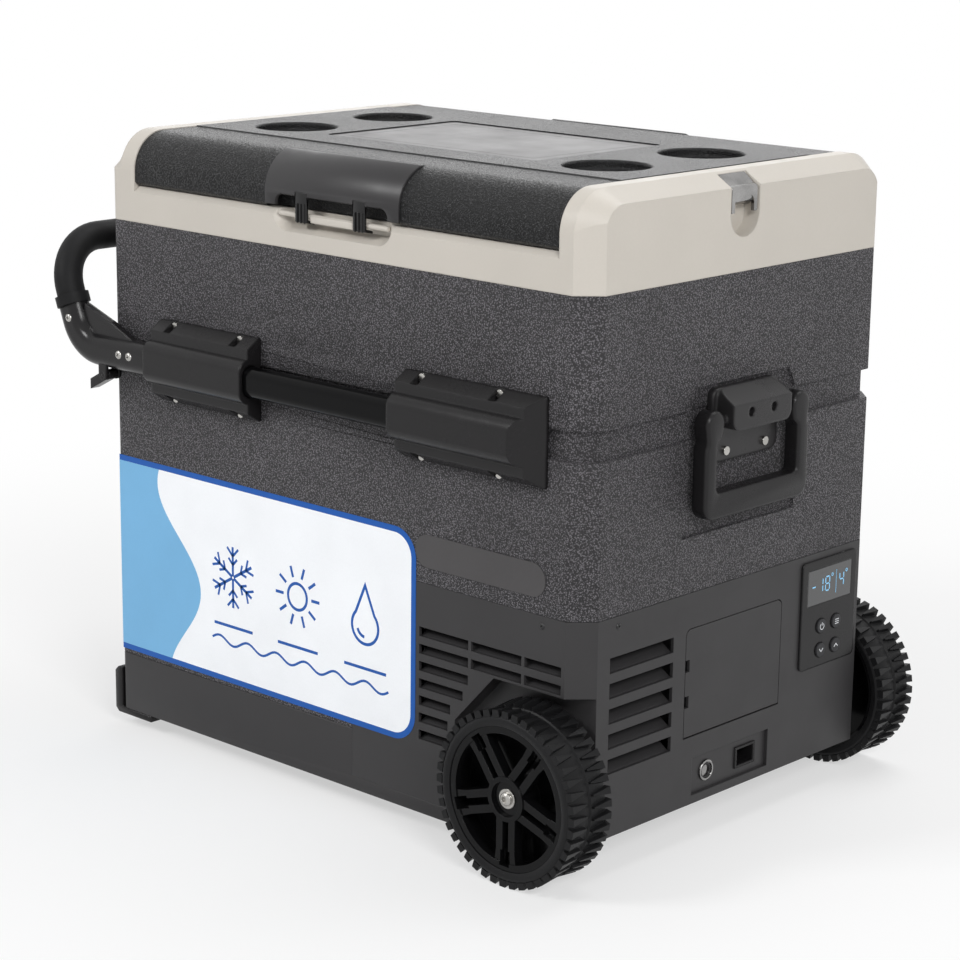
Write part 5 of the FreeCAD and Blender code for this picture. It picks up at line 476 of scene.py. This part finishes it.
def make_stage():
    """A pale floor: it turns to the white of the background away from the object and keeps its shadow."""
    work = bmesh.new()
    bmesh.ops.create_grid(work, x_segments=2, y_segments=2, size=FLOOR_SIZE)
    mesh = bpy.data.meshes.new("floor")
    work.to_mesh(mesh)
    work.free()
    floor = bpy.data.objects.new("floor", mesh)
    bpy.context.scene.collection.objects.link(floor)
    material = bpy.data.materials.new("floor")
    material.use_nodes = True
    tree = material.node_tree
    surface = tree.nodes["Principled BSDF"]
    surface.inputs["Base Color"].default_value = (FLOOR_TONE, FLOOR_TONE, FLOOR_TONE, 1)
    surface.inputs["Roughness"].default_value = 0.9
    surface.inputs["Specular IOR Level"].default_value = 0.1
    place = tree.nodes.new("ShaderNodeTexCoord")
    away = tree.nodes.new("ShaderNodeVectorMath")
    away.operation = "LENGTH"
    tree.links.new(place.outputs["Object"], away.inputs[0])
    share = tree.nodes.new("ShaderNodeMapRange")
    share.interpolation_type = "SMOOTHSTEP"
    tree.links.new(away.outputs["Value"], share.inputs["Value"])
    share.inputs["From Min"].default_value = SHADOW_NEAR
    share.inputs["From Max"].default_value = SHADOW_FAR
    share.inputs["To Min"].default_value = 0.55
    share.inputs["To Max"].default_value = 1
    seen = tree.nodes.new("ShaderNodeMath")
    seen.operation = "MULTIPLY"
    tree.links.new(shown_rays(tree), seen.inputs[0])
    tree.links.new(share.outputs["Result"], seen.inputs[1])
    white = tree.nodes.new("ShaderNodeEmission")
    mix = tree.nodes.new("ShaderNodeMixShader")
    tree.links.new(seen.outputs[0], mix.inputs[0])
    tree.links.new(surface.outputs[0], mix.inputs[1])
    tree.links.new(white.outputs[0], mix.inputs[2])
    tree.links.new(mix.outputs[0], tree.nodes["Material Output"].inputs["Surface"])
    mesh.materials.append(material)


def make_world():
    """White where it is seen or mirrored, and a dim even light on everything else."""
    world = bpy.data.worlds.new("World")
    bpy.context.scene.world = world
    world.use_nodes = True
    tree = world.node_tree
    tree.nodes.clear()
    output = tree.nodes.new("ShaderNodeOutputWorld")
    shown = tree.nodes.new("ShaderNodeBackground")
    shown.inputs["Color"].default_value = (1, 1, 1, 1)
    light = tree.nodes.new("ShaderNodeBackground")
    light.inputs["Color"].default_value = (0.98, 0.99, 1, 1)
    light.inputs["Strength"].default_value = WORLD_LIGHT
    mix = tree.nodes.new("ShaderNodeMixShader")
    tree.links.new(shown_rays(tree), mix.inputs[0])
    tree.links.new(light.outputs[0], mix.inputs[1])
    tree.links.new(shown.outputs[0], mix.inputs[2])
    tree.links.new(mix.outputs[0], output.inputs[0])


# ---------------------------------------------------------------- meshes in code

def mesh_piece(name, work, body, material, smooth=None):
    """A piece from a bmesh, riding a body; edges that turn by more than smooth degrees stay sharp."""
    mesh = bpy.data.meshes.new(name)
    bmesh.ops.recalc_face_normals(work, faces=work.faces)
    work.to_mesh(mesh)
    work.free()
    mesh.materials.append(material)
    piece = bpy.data.objects.new(name, mesh)
    bpy.context.scene.collection.objects.link(piece)
    if smooth:
        mesh.polygons.foreach_set("use_smooth", [True] * len(mesh.polygons))
        mesh.set_sharp_from_angle(angle=math.radians(smooth))
    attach(piece, body)
    return piece


def join_rows(work, rows, capped=False):
    """Faces round between each row of vertices and the next; a capped shape is closed at both ends."""
    for first, second in zip(rows, rows[1:]):
        count = len(first)
        for i in range(count):
            j = (i + 1) % count
            work.faces.new((first[i], first[j], second[j], second[i]))
    if capped:
        work.faces.new(rows[0])
        work.faces.new(rows[-1])


def sheet_of(work, points, level, thick):
    """A flat shape on the front face: points are (x, z), in order; it stands out towards -Y."""
    front = [work.verts.new((x, level - thick, z)) for x, z in points]
    back = [work.verts.new((x, level, z)) for x, z in points]
    work.faces.new(front)
    for i in range(len(points)):
        j = (i + 1) % len(points)
        work.faces.new((front[i], back[i], back[j], front[j]))


def stroke(work, points, width, level, thick, closed=False):
    """A line of even width along points, as joined quads with mitred corners."""
    count = len(points)
    sides = []
    for i, (x, z) in enumerate(points):
        before = points[i - 1] if (i or closed) else None
        after = points[(i + 1) % count] if (i < count - 1 or closed) else None
        first = Vector((x - before[0], z - before[1])).normalized() if before else None
        last = Vector((after[0] - x, after[1] - z)).normalized() if after else None
        along = (first + last).normalized() if first and last else (first or last)
        across = Vector((-along.y, along.x))
        if first and last:
            across /= max(0.35, across.dot(Vector((-first.y, first.x))))
        sides.append((Vector((x, z)) + across * width / 2, Vector((x, z)) - across * width / 2))
    rows = []
    for left, right in sides:
        rows.append([work.verts.new((p.x, level - d, p.y)) for p, d in
                     ((left, thick), (right, thick), (right, 0), (left, 0))])
    for i in range(count if closed else count - 1):
        a, b = rows[i], rows[(i + 1) % count]
        for k in range(3):
            work.faces.new((a[k], a[(k + 1) % 4], b[(k + 1) % 4], b[k]))
        work.faces.new((a[3], a[0], b[0], b[3]))
    if not closed:
        work.faces.new(rows[0])
        work.faces.new(rows[-1])


def ring_points(x, z, radius, count=40, start=0.0, end=360.0):
    """Points on an arc; a whole ring doesn't repeat its first point."""
    whole = abs(end - start) >= 360
    steps = count if whole else count - 1
    angles = [math.radians(start + (end - start) * i / steps) for i in range(count)]
    return [(x + radius * math.cos(a), z + radius * math.sin(a)) for a in angles]


# ---------------------------------------------------------------- the label

def make_label():
    """A printed vinyl label: a blue edge, a sky-blue wave at the left, a snowflake, a sun and a drop,
    a short line below each and a ripple along the bottom."""
    low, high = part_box("label_sheet")
    left, right, bottom, top = low[0], high[0], low[2], high[2]
    level = high[1]
    corner, rim, film = 24 * MM, 5 * MM, 0.3 * MM
    ink = 0.05 * MM

    def outline(inset):
        radius = corner - inset
        out = [(left, bottom + inset)]
        out += ring_points(right - corner, bottom + corner, radius, 14, -90, 0)
        out += ring_points(right - corner, top - corner, radius, 14, 0, 90)
        return out + [(left, top - inset)]

    work = bmesh.new()
    sheet_of(work, outline(0), level, film)
    mesh_piece("label_edge", work, "cabinet", LABEL_BLUE)
    work = bmesh.new()
    sheet_of(work, outline(rim), level - film, ink)
    field = mesh_piece("label_field", work, "cabinet", MATERIALS["label_print"])
    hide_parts("label_sheet")
    level = level - film - ink
    wave = [(left, bottom + rim)]
    steps = 40
    for i in range(steps + 1):
        share = i / steps
        bend = 88 * MM + 24 * MM * math.sin(math.radians(360 * share - 60)) - 14 * MM * share
        wave.append((left + bend, bottom + rim + (top - bottom - 2 * rim) * share))
    wave.append((left, top - rim))
    work = bmesh.new()
    sheet_of(work, wave, level, ink)
    mesh_piece("label_wave", work, "cabinet", LABEL_SKY)

    work = bmesh.new()
    line = 2.6 * MM
    middle = (bottom + top) / 2 + 6 * MM
    shown = [left + 148 * MM, left + 228 * MM, left + 308 * MM]
    reach = 27 * MM
    for turn in range(6):
        angle = math.radians(30 + 60 * turn)
        out = Vector((math.cos(angle), math.sin(angle)))
        side = Vector((-out.y, out.x))
        centre = Vector((shown[0], middle))
        stroke(work, [tuple(centre + out * reach * 0.04), tuple(centre + out * reach)], line, level, ink)
        for share, wing in ((0.42, 0.2), (0.7, 0.26)):
            fork = centre + out * reach * share
            for k in (-1, 1):
                tip = fork + out * reach * wing + side * reach * wing * k
                stroke(work, [tuple(fork), tuple(tip)], line * 0.85, level, ink)
    stroke(work, ring_points(shown[1], middle, reach * 0.42), line, level, ink, True)
    for turn in range(10):
        angle = math.radians(36 * turn)
        ray = [(shown[1] + reach * k * math.cos(angle), middle + reach * k * math.sin(angle))
               for k in (0.62, 0.98)]
        stroke(work, ray, line, level, ink)
    drop = []
    for i in range(33):
        angle = math.radians(-225 + 270 * i / 32)
        drop.append((shown[2] + reach * 0.56 * math.cos(angle),
                     middle - reach * 0.3 + reach * 0.56 * math.sin(angle)))
    drop.append((shown[2], middle + reach * 0.98))
    stroke(work, drop, line, level, ink, True)
    stroke(work, ring_points(shown[2], middle - reach * 0.3, reach * 0.34, 12, 200, 265), line, level, ink)
    half, under = reach * 0.9, middle - 44 * MM
    for across in shown:
        stroke(work, [(across - half, under), (across + half, under)], line, level, ink)
    ripple = [(shown[0] - reach + (shown[2] - shown[0] + 2 * reach) * i / 90,
               middle - 58 * MM + 3.4 * MM * math.sin(i * math.pi / 7.5)) for i in range(91)]
    stroke(work, ripple, line * 0.8, level, ink)
    mesh_piece("label_drawings", work, "cabinet", LABEL_BLUE)


# ---------------------------------------------------------------- screws, handle, latches, marks and tyres

def islands(node):
    """The separate solids of a node, each as its vertices' places."""
    work = bmesh.new()
    work.from_mesh(NODES[node].data)
    bmesh.ops.remove_doubles(work, verts=work.verts, dist=0.001 * MM)
    left, found = set(work.verts), []
    while left:
        stack, group = [left.pop()], []
        while stack:
            vert = stack.pop()
            group.append(vert.co.copy())
            for edge in vert.link_edges:
                other = edge.other_vert(vert)
                if other in left:
                    left.discard(other)
                    stack.append(other)
        found.append(group)
    work.free()
    return found


def screw_head(work, seat, outward, radius, height, turn=0.0):
    """A domed head with a cross recess, on its seat."""
    spin = outward.to_track_quat("Z", "Y").to_matrix() @ Matrix.Rotation(turn, 3, "Z")
    count, rings = 24, []
    profile = [(1.0, 0.0), (1.0, 0.25), (0.95, 0.5), (0.8, 0.8), (0.55, 0.97), (0.42, 1.0)]
    for share, rise in profile:
        ring = []
        for i in range(count):
            angle = 2 * math.pi * i / count
            ring.append(work.verts.new(seat + spin @ Vector(
                (radius * share * math.cos(angle), radius * share * math.sin(angle), height * rise))))
        rings.append(ring)
    slots = []
    for i in range(count):
        angle = 2 * math.pi * i / count
        in_slot = min(i % 6, 6 - i % 6) < 2
        out = radius * (0.4 if in_slot else 0.16)
        slots.append(work.verts.new(seat + spin @ Vector(
            (out * math.cos(angle), out * math.sin(angle), height * 0.97))))
    floor = [work.verts.new(vert.co - outward * height * 0.5) for vert in slots]
    rings += [slots, floor]
    join_rows(work, rings)
    work.faces.new(floor)
    work.faces.new(rings[0])


def make_screws():
    """Domed cross-recess heads where the case screws are."""
    work = bmesh.new()
    for number, points in enumerate(islands("case_screws")):
        low = Vector([min(p[i] for p in points) for i in range(3)])
        high = Vector([max(p[i] for p in points) for i in range(3)])
        size = high - low
        middle = (low + high) / 2
        axis = 0 if abs(size.y - size.z) < 0.2 * MM else 1
        sign = 1 if middle[axis] > (CHEST_MIDDLE if axis == 0 else 0) else -1
        outward = Vector((sign, 0, 0)) if axis == 0 else Vector((0, sign, 0))
        radius = max(size[i] for i in range(3) if i != axis) / 2 - 0.5 * MM
        seat = middle.copy()
        top = high[axis] if sign > 0 else low[axis]
        seat[axis] = top - sign * 2.4 * MM
        screw_head(work, seat, outward, radius, 2.4 * MM, number * 0.7)
    piece = mesh_piece("case_screw_heads", work, "cabinet", MATERIALS["steel"], SMALL_SHARP)


def set_screws(name, places, radius, height, body, material):
    """Domed heads at (place, outward) pairs."""
    work = bmesh.new()
    for number, (place, outward) in enumerate(places):
        screw_head(work, Vector(place), Vector(outward), radius, height, number * 0.9)
    return mesh_piece(name, work, body, material, SMALL_SHARP)


def make_handle_screws():
    """Nickel screws in the outer side of each elbow, one near the grip and two near the rod."""
    low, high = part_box("handle_elbows")
    for side, name in ((-1, "front"), (1, "rear")):
        face = (low[1] if side < 0 else high[1]) - side * 1.2 * MM
        places = [((low[0] + along * MM, face, low[2] + up * MM), (0, side, 0))
                  for along, up in ((18.4, 50.2), (85.5, 26.9), (98.8, 27.0))]
        piece = set_screws("elbow_screws_" + name, places, 3.9 * MM, 2.5 * MM, "pull_handle",
                           MATERIALS["steel"])


def make_housing_screws():
    """Small dark screws below the top edge of the machine housing."""
    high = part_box("machine_housing")[1]
    up = high[2] - 8 * MM
    places = [((high[0] - 41 * MM, side * (high[1] - 0.4 * MM), up), (0, side, 0)) for side in (-1, 1)]
    places += [((high[0] - 0.4 * MM, side * 146 * MM, up), (1, 0, 0)) for side in (-1, 1)]
    piece = set_screws("housing_screws", places, 2.7 * MM, 1.3 * MM, "cabinet", DARK_SCREW)


def lathe(work, middle, axis, profile, count=48):
    """A turned shape about axis through middle; profile holds (distance along the axis, radius)."""
    turn = axis.to_track_quat("Z", "Y").to_matrix()
    rings = []
    for along, radius in profile:
        ring = [work.verts.new(middle + turn @ Vector((
            radius * math.cos(2 * math.pi * i / count), radius * math.sin(2 * math.pi * i / count), along)))
            for i in range(count)]
        rings.append(ring)
    join_rows(work, rings, True)


def make_axle():
    """The axle with a washer and a dome-headed socket bolt at each end."""
    low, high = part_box("axle")
    middle = Vector(((low[0] + high[0]) / 2, 0, (low[2] + high[2]) / 2))
    radius = (high[0] - low[0]) / 2
    washer = high[1] - 4.3 * MM
    work = bmesh.new()
    lathe(work, middle, Vector((0, 1, 0)), [(-washer, radius - 0.2 * MM), (washer, radius - 0.2 * MM)])
    for side in (-1, 1):
        end = middle + Vector((0, washer * side, 0))
        out = Vector((0, side, 0))
        lathe(work, end, out, [
            (0, radius - 0.4 * MM), (0, radius), (0.9 * MM, radius), (1.2 * MM, radius - 0.3 * MM),
            (1.2 * MM, 5.8 * MM), (1.2 * MM, 5.5 * MM), (2.6 * MM, 5.4 * MM), (3.5 * MM, 4.7 * MM),
            (4.1 * MM, 3.6 * MM), (4.3 * MM, 2.7 * MM), (4.2 * MM, 2.5 * MM), (2.0 * MM, 2.4 * MM)])
    piece = mesh_piece("axle_and_bolts", work, "cabinet", MATERIALS["steel"], ROUND_SHARP)
    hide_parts("axle")


def make_drop_handle():
    """A flat loop whose arms end in broad rounded ears with a step below each."""
    low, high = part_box("drop_handle")
    half, bottom, top = high[1], low[2], high[2]
    bar, arm, corner = 21 * MM, 14 * MM, 12 * MM
    ear, inner = 11 * MM, 5 * MM
    right = [(0, bottom)]
    right += ring_points(half - corner, bottom + corner, corner, 9, -90, 0)
    right += [(half, top - 29 * MM), (half - 2 * MM, top - 26 * MM), (half - 2 * MM, top - 23 * MM)]
    right += ring_points(half - ear, top - ear, ear, 17, -20, 200)
    right += [(half - 20 * MM, top - 22 * MM), (half - 14.5 * MM, top - 27 * MM)]
    right += [(half - arm, top - 31 * MM)]
    right += ring_points(half - arm - inner, bottom + bar + inner, inner, 6, 0, -90)
    right.append((0, bottom + bar))
    left = [(-y, z) for y, z in reversed(right[1:-1])]
    work = bmesh.new()
    back = [work.verts.new((low[0], y, z)) for y, z in right + left]
    front = [work.verts.new((high[0], y, z)) for y, z in right + left]
    work.faces.new(front)
    work.faces.new(back)
    join_rows(work, [back, front])
    piece = mesh_piece("drop_handle_loop", work, "side_handle", MATERIALS["black_bracket"])
    bevel = piece.modifiers.new("Edges", "BEVEL")
    bevel.width = 2.6 * MM
    bevel.segments = 4
    bevel.limit_method = "ANGLE"
    bevel.angle_limit = math.radians(50)
    apply_modifiers(piece)
    piece.data.polygons.foreach_set("use_smooth", [True] * len(piece.data.polygons))
    piece.data.set_sharp_from_angle(angle=math.radians(35))
    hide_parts("drop_handle")


def soften_latch(node):
    """The latch cover in satin grey with glossy black hooks below it, and ribs on the hooks."""
    piece = rounded_copy(node, 0.6 * MM)
    low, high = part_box(node)
    middle = (low[0] + high[0]) / 2
    reach, half, under = 33 * MM, 7 * MM, low[2] + 19 * MM
    mesh = piece.data
    mesh.materials.clear()
    mesh.materials.append(COVER_GREY)
    mesh.materials.append(HOOK_BLACK)
    for polygon in mesh.polygons:
        centre = polygon.center
        if centre.z < under and abs(abs(centre.x - middle) - reach) < half:
            polygon.material_index = 1
    side = -1 if low[1] < 0 else 1
    face = low[1] if side < 0 else high[1]
    work = bmesh.new()
    for hook in (-1, 1):
        for rib in (-1, 0, 1):
            across = middle + hook * reach + rib * 4 * MM
            narrow, wide = 0.5 * MM, 1.0 * MM
            rows = []
            for height, share in ((low[2] + 1.5 * MM, 0.5), (low[2] + 3 * MM, 1), (low[2] + 17 * MM, 1)):
                out = face + side * 0.9 * MM * share
                rows.append([work.verts.new(place) for place in (
                    (across - wide, face - side * 0.4 * MM, height), (across - narrow, out, height),
                    (across + narrow, out, height), (across + wide, face - side * 0.4 * MM, height))])
            join_rows(work, rows, True)
    ribs = mesh_piece(node + "_hook_ribs", work, NODES[node]["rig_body"], HOOK_BLACK)


def soft_box(work, low, high, edge):
    """A block with rounded edges."""
    made = bmesh.ops.create_cube(work, size=1)["verts"]
    for vert in made:
        vert.co = Vector([(a + b) / 2 + (b - a) * c for a, b, c in zip(low, high, vert.co)])
    edges = {edge_of for vert in made for edge_of in vert.link_edges}
    bmesh.ops.bevel(work, geom=list(edges), offset=edge, segments=3, affect="EDGES", profile=0.5)


def make_catch_tabs():
    """The beige ledge between the two hooks of each latch."""
    low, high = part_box("catch_bars")
    middle = (low[0] + high[0]) / 2
    half = 24.5 * MM
    work = bmesh.new()
    for side in (-1, 1):
        ends = sorted((side * (high[1] - 4.5 * MM), side * (high[1] + 0.6 * MM)))
        soft_box(work, (middle - half, ends[0], low[2] + 0.3 * MM),
                 (middle + half, ends[1], low[2] + 6.2 * MM), 0.9 * MM)
    piece = mesh_piece("catch_ledges", work, "cabinet", MATERIALS["warm_grey"], SMALL_SHARP)


def on_end_face(work, level):
    """Turns a drawing made on the front plane at level 0 on to the end face at x = level."""
    for vert in work.verts:
        x, y, z = vert.co
        vert.co = Vector((level - y, x, z))


SEGMENTS = {"1": "bc", "4": "bcfg", "8": "abcdefg", "-": "g"}


def digit(work, mark, left, low, wide, tall, line, ink):
    """One seven-segment figure."""
    right, high, middle = left + wide, low + tall, low + tall / 2
    gap = line * 0.65
    lines = {"b": ((right, middle + gap), (right, high - gap)),
             "c": ((right, low + gap), (right, middle - gap)),
             "e": ((left, low + gap), (left, middle - gap)),
             "f": ((left, middle + gap), (left, high - gap))}
    lines.update({name: ((left + gap, level), (right - gap, level))
                  for name, level in (("a", high), ("d", low), ("g", middle))})
    for segment in SEGMENTS[mark]:
        stroke(work, lines[segment], line, 0, ink)


def make_display():
    """Two temperatures on the display, and marks on the four keys."""
    low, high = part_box("control_display")
    ink, line = 0.12 * MM, 1.1 * MM
    work = bmesh.new()
    for text, left in (("-18", low[1] + 5 * MM), ("4", low[1] + 44 * MM)):
        for number, mark in enumerate(text):
            digit(work, mark, left + number * 9.5 * MM, low[2] + 9.5 * MM, 5.6 * MM, 12 * MM, line,
                  ink)
    for left in (low[1] + 33.5 * MM, low[1] + 53.5 * MM):
        stroke(work, ring_points(left, high[2] - 8 * MM, 1.2 * MM, 16), 0.6 * MM, 0, ink, True)
    divider = low[1] + 39 * MM
    stroke(work, [(divider, low[2] + 5 * MM), (divider, high[2] - 5 * MM)], 0.4 * MM, 0, ink)
    on_end_face(work, high[0])
    piece = mesh_piece("display_digits", work, "cabinet", DIGITS)
    for name in ("power", "mode", "up", "down"):
        low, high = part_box("button_" + name)
        y, z = (low[1] + high[1]) / 2, (low[2] + high[2]) / 2
        reach = 2.6 * MM
        work = bmesh.new()
        if name == "power":
            stroke(work, ring_points(y, z - 0.3 * MM, reach, 20, 125, 415), 0.7 * MM, 0, ink)
            stroke(work, [(y, z + 0.4 * MM), (y, z + reach + 0.6 * MM)], 0.7 * MM, 0, ink)
        elif name == "mode":
            for row in (-1, 0, 1):
                level = z + row * 1.8 * MM
                stroke(work, [(y - reach, level), (y + reach, level)], 0.7 * MM, 0, ink)
        else:
            up = 1 if name == "up" else -1
            points = [(y - reach, z - up * reach / 2), (y, z + up * reach / 2),
                      (y + reach, z - up * reach / 2)]
            stroke(work, points, 0.8 * MM, 0, ink)
        on_end_face(work, high[0])
        mark = mesh_piece("key_mark_" + name, work, NODES["button_" + name]["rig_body"], KEY_MARKS)


def make_socket_ring():
    """A chrome ring round the charging socket."""
    low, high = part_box("power_sockets")
    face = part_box("socket_panel")[1][0]
    work = bmesh.new()
    middle = Vector((face, low[1] + 8.5 * MM, (low[2] + high[2]) / 2))
    lathe(work, middle, Vector((1, 0, 0)), [
        (0, 8.6 * MM), (0.6 * MM, 9 * MM), (1.6 * MM, 8.6 * MM), (2 * MM, 7.8 * MM), (1.6 * MM, 7 * MM),
        (0.2 * MM, 6.6 * MM)])
    piece = mesh_piece("socket_ring", work, "cabinet", MATERIALS["chrome_metal"], ROUND_SHARP)


def make_opener_roll():
    """The opener's edge curls back into the recess in a smooth roll."""
    low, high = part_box("bottle_opener")
    half, radius, thick, steps = (high[1] - low[1]) / 2 - 3.6 * MM, 9.5 * MM, 1.4 * MM, 14
    middle, top = (low[1] + high[1]) / 2, low[2] + 13.4 * MM
    work = bmesh.new()
    rows = []
    for i in range(steps + 1):
        angle = math.radians(-14 + 118 * i / steps)
        row = []
        for reach in (radius, radius - thick):
            x = high[0] - 0.5 * MM - radius + reach * math.cos(angle)
            z = top - reach * math.sin(angle)
            row.append((x, z))
        (x0, z0), (x1, z1) = row
        rows.append([work.verts.new(place) for place in (
            (x0, middle - half, z0), (x0, middle + half, z0), (x1, middle + half, z1),
            (x1, middle - half, z1))])
    join_rows(work, rows, True)
    piece = mesh_piece("opener_roll", work, "cabinet", MATERIALS["chrome_metal"], SMALL_SHARP)


LUGS = 44    # in each of a tyre's two rows


def make_tyre(node, rim):
    """A tyre with two rows of wedge-shaped lugs and a plain band between them."""
    low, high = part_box(node)
    side = -1 if low[1] < 0 else 1
    face = low[1] if side < 0 else high[1]
    middle = Vector(((low[0] + high[0]) / 2, 0, (low[2] + high[2]) / 2))
    width = high[1] - low[1]
    outer = (high[2] - low[2]) / 2
    base = outer - 4.6 * MM
    rim_low, rim_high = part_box(rim)
    bead = (rim_high[2] - rim_low[2]) / 2
    work = bmesh.new()

    def at(radius, angle, depth):
        return Vector((middle.x + radius * math.sin(angle), face - side * depth,
                       middle.z + radius * math.cos(angle)))

    count, steps = LUGS, 4 * LUGS
    profile = [(bead, 1.2 * MM), (bead + 2.2 * MM, 0.2 * MM), (bead + 5 * MM, 0.0),
               (base - 1.5 * MM, 0.6 * MM), (base - 0.4 * MM, 1.6 * MM), (base, 3.2 * MM),
               (base, width / 2 - 3.5 * MM),
               (base - 1.2 * MM, width / 2 - 2.5 * MM), (base - 1.2 * MM, width / 2 + 2.5 * MM),
               (base, width / 2 + 3.5 * MM), (base, width - 3.2 * MM), (base - 1.5 * MM, width - 0.6 * MM),
               (bead + 5 * MM, width), (bead, width - 1.2 * MM)]
    rings = [[work.verts.new(at(r, 2 * math.pi * i / steps, d)) for i in range(steps)] for r, d in profile]
    rings.append(rings[0])
    join_rows(work, rings)
    pitch = 2 * math.pi / count
    row = width / 2 - 4 * MM
    for depth_out, depth_in, phase in ((0.4 * MM, row, 0.0), (width - 0.4 * MM, width - row, 0.5)):
        for tooth in range(count):
            angle = pitch * (tooth + phase)
            wide, narrow = pitch * 0.29, pitch * 0.05
            corners = []
            for radius, half_out, half_in in ((base - 1 * MM, wide * 1.35, narrow * 2.2),
                                              (outer, wide, narrow)):
                for spread, depth in ((-half_out, depth_out), (half_out, depth_out),
                                      (half_in, depth_in), (-half_in, depth_in)):
                    drop = 0 if radius < outer or depth == depth_out else 1.6 * MM
                    corners.append(work.verts.new(at(radius - drop, angle + spread, depth)))
            for face_of in ((4, 5, 6, 7), (0, 1, 5, 4), (1, 2, 6, 5), (2, 3, 7, 6), (3, 0, 4, 7)):
                work.faces.new([corners[k] for k in face_of])
    piece = mesh_piece(node + "_tread", work, NODES[node]["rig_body"], MATERIALS["wheel_tyre"],
                       ROUND_SHARP)
    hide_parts(node)


make_camera()
make_stage()
make_world()
for lamp_values in LAMPS:
    panel_light(*lamp_values)
bpy.context.scene.view_settings.view_transform = "Standard"

for name in ("outer_shell", "base_tray", "corner_feet"):
    rounded_copy(name, 0.8 * MM)
for name in ("latch_front", "latch_rear"):
    soften_latch(name)
make_label()
make_screws()
make_handle_screws()
make_housing_screws()
make_axle()
make_drop_handle()
make_catch_tabs()
make_display()
make_opener_roll()
make_socket_ring()
make_tyre("tyre_front", "rim_front")
make_tyre("tyre_rear", "rim_rear")
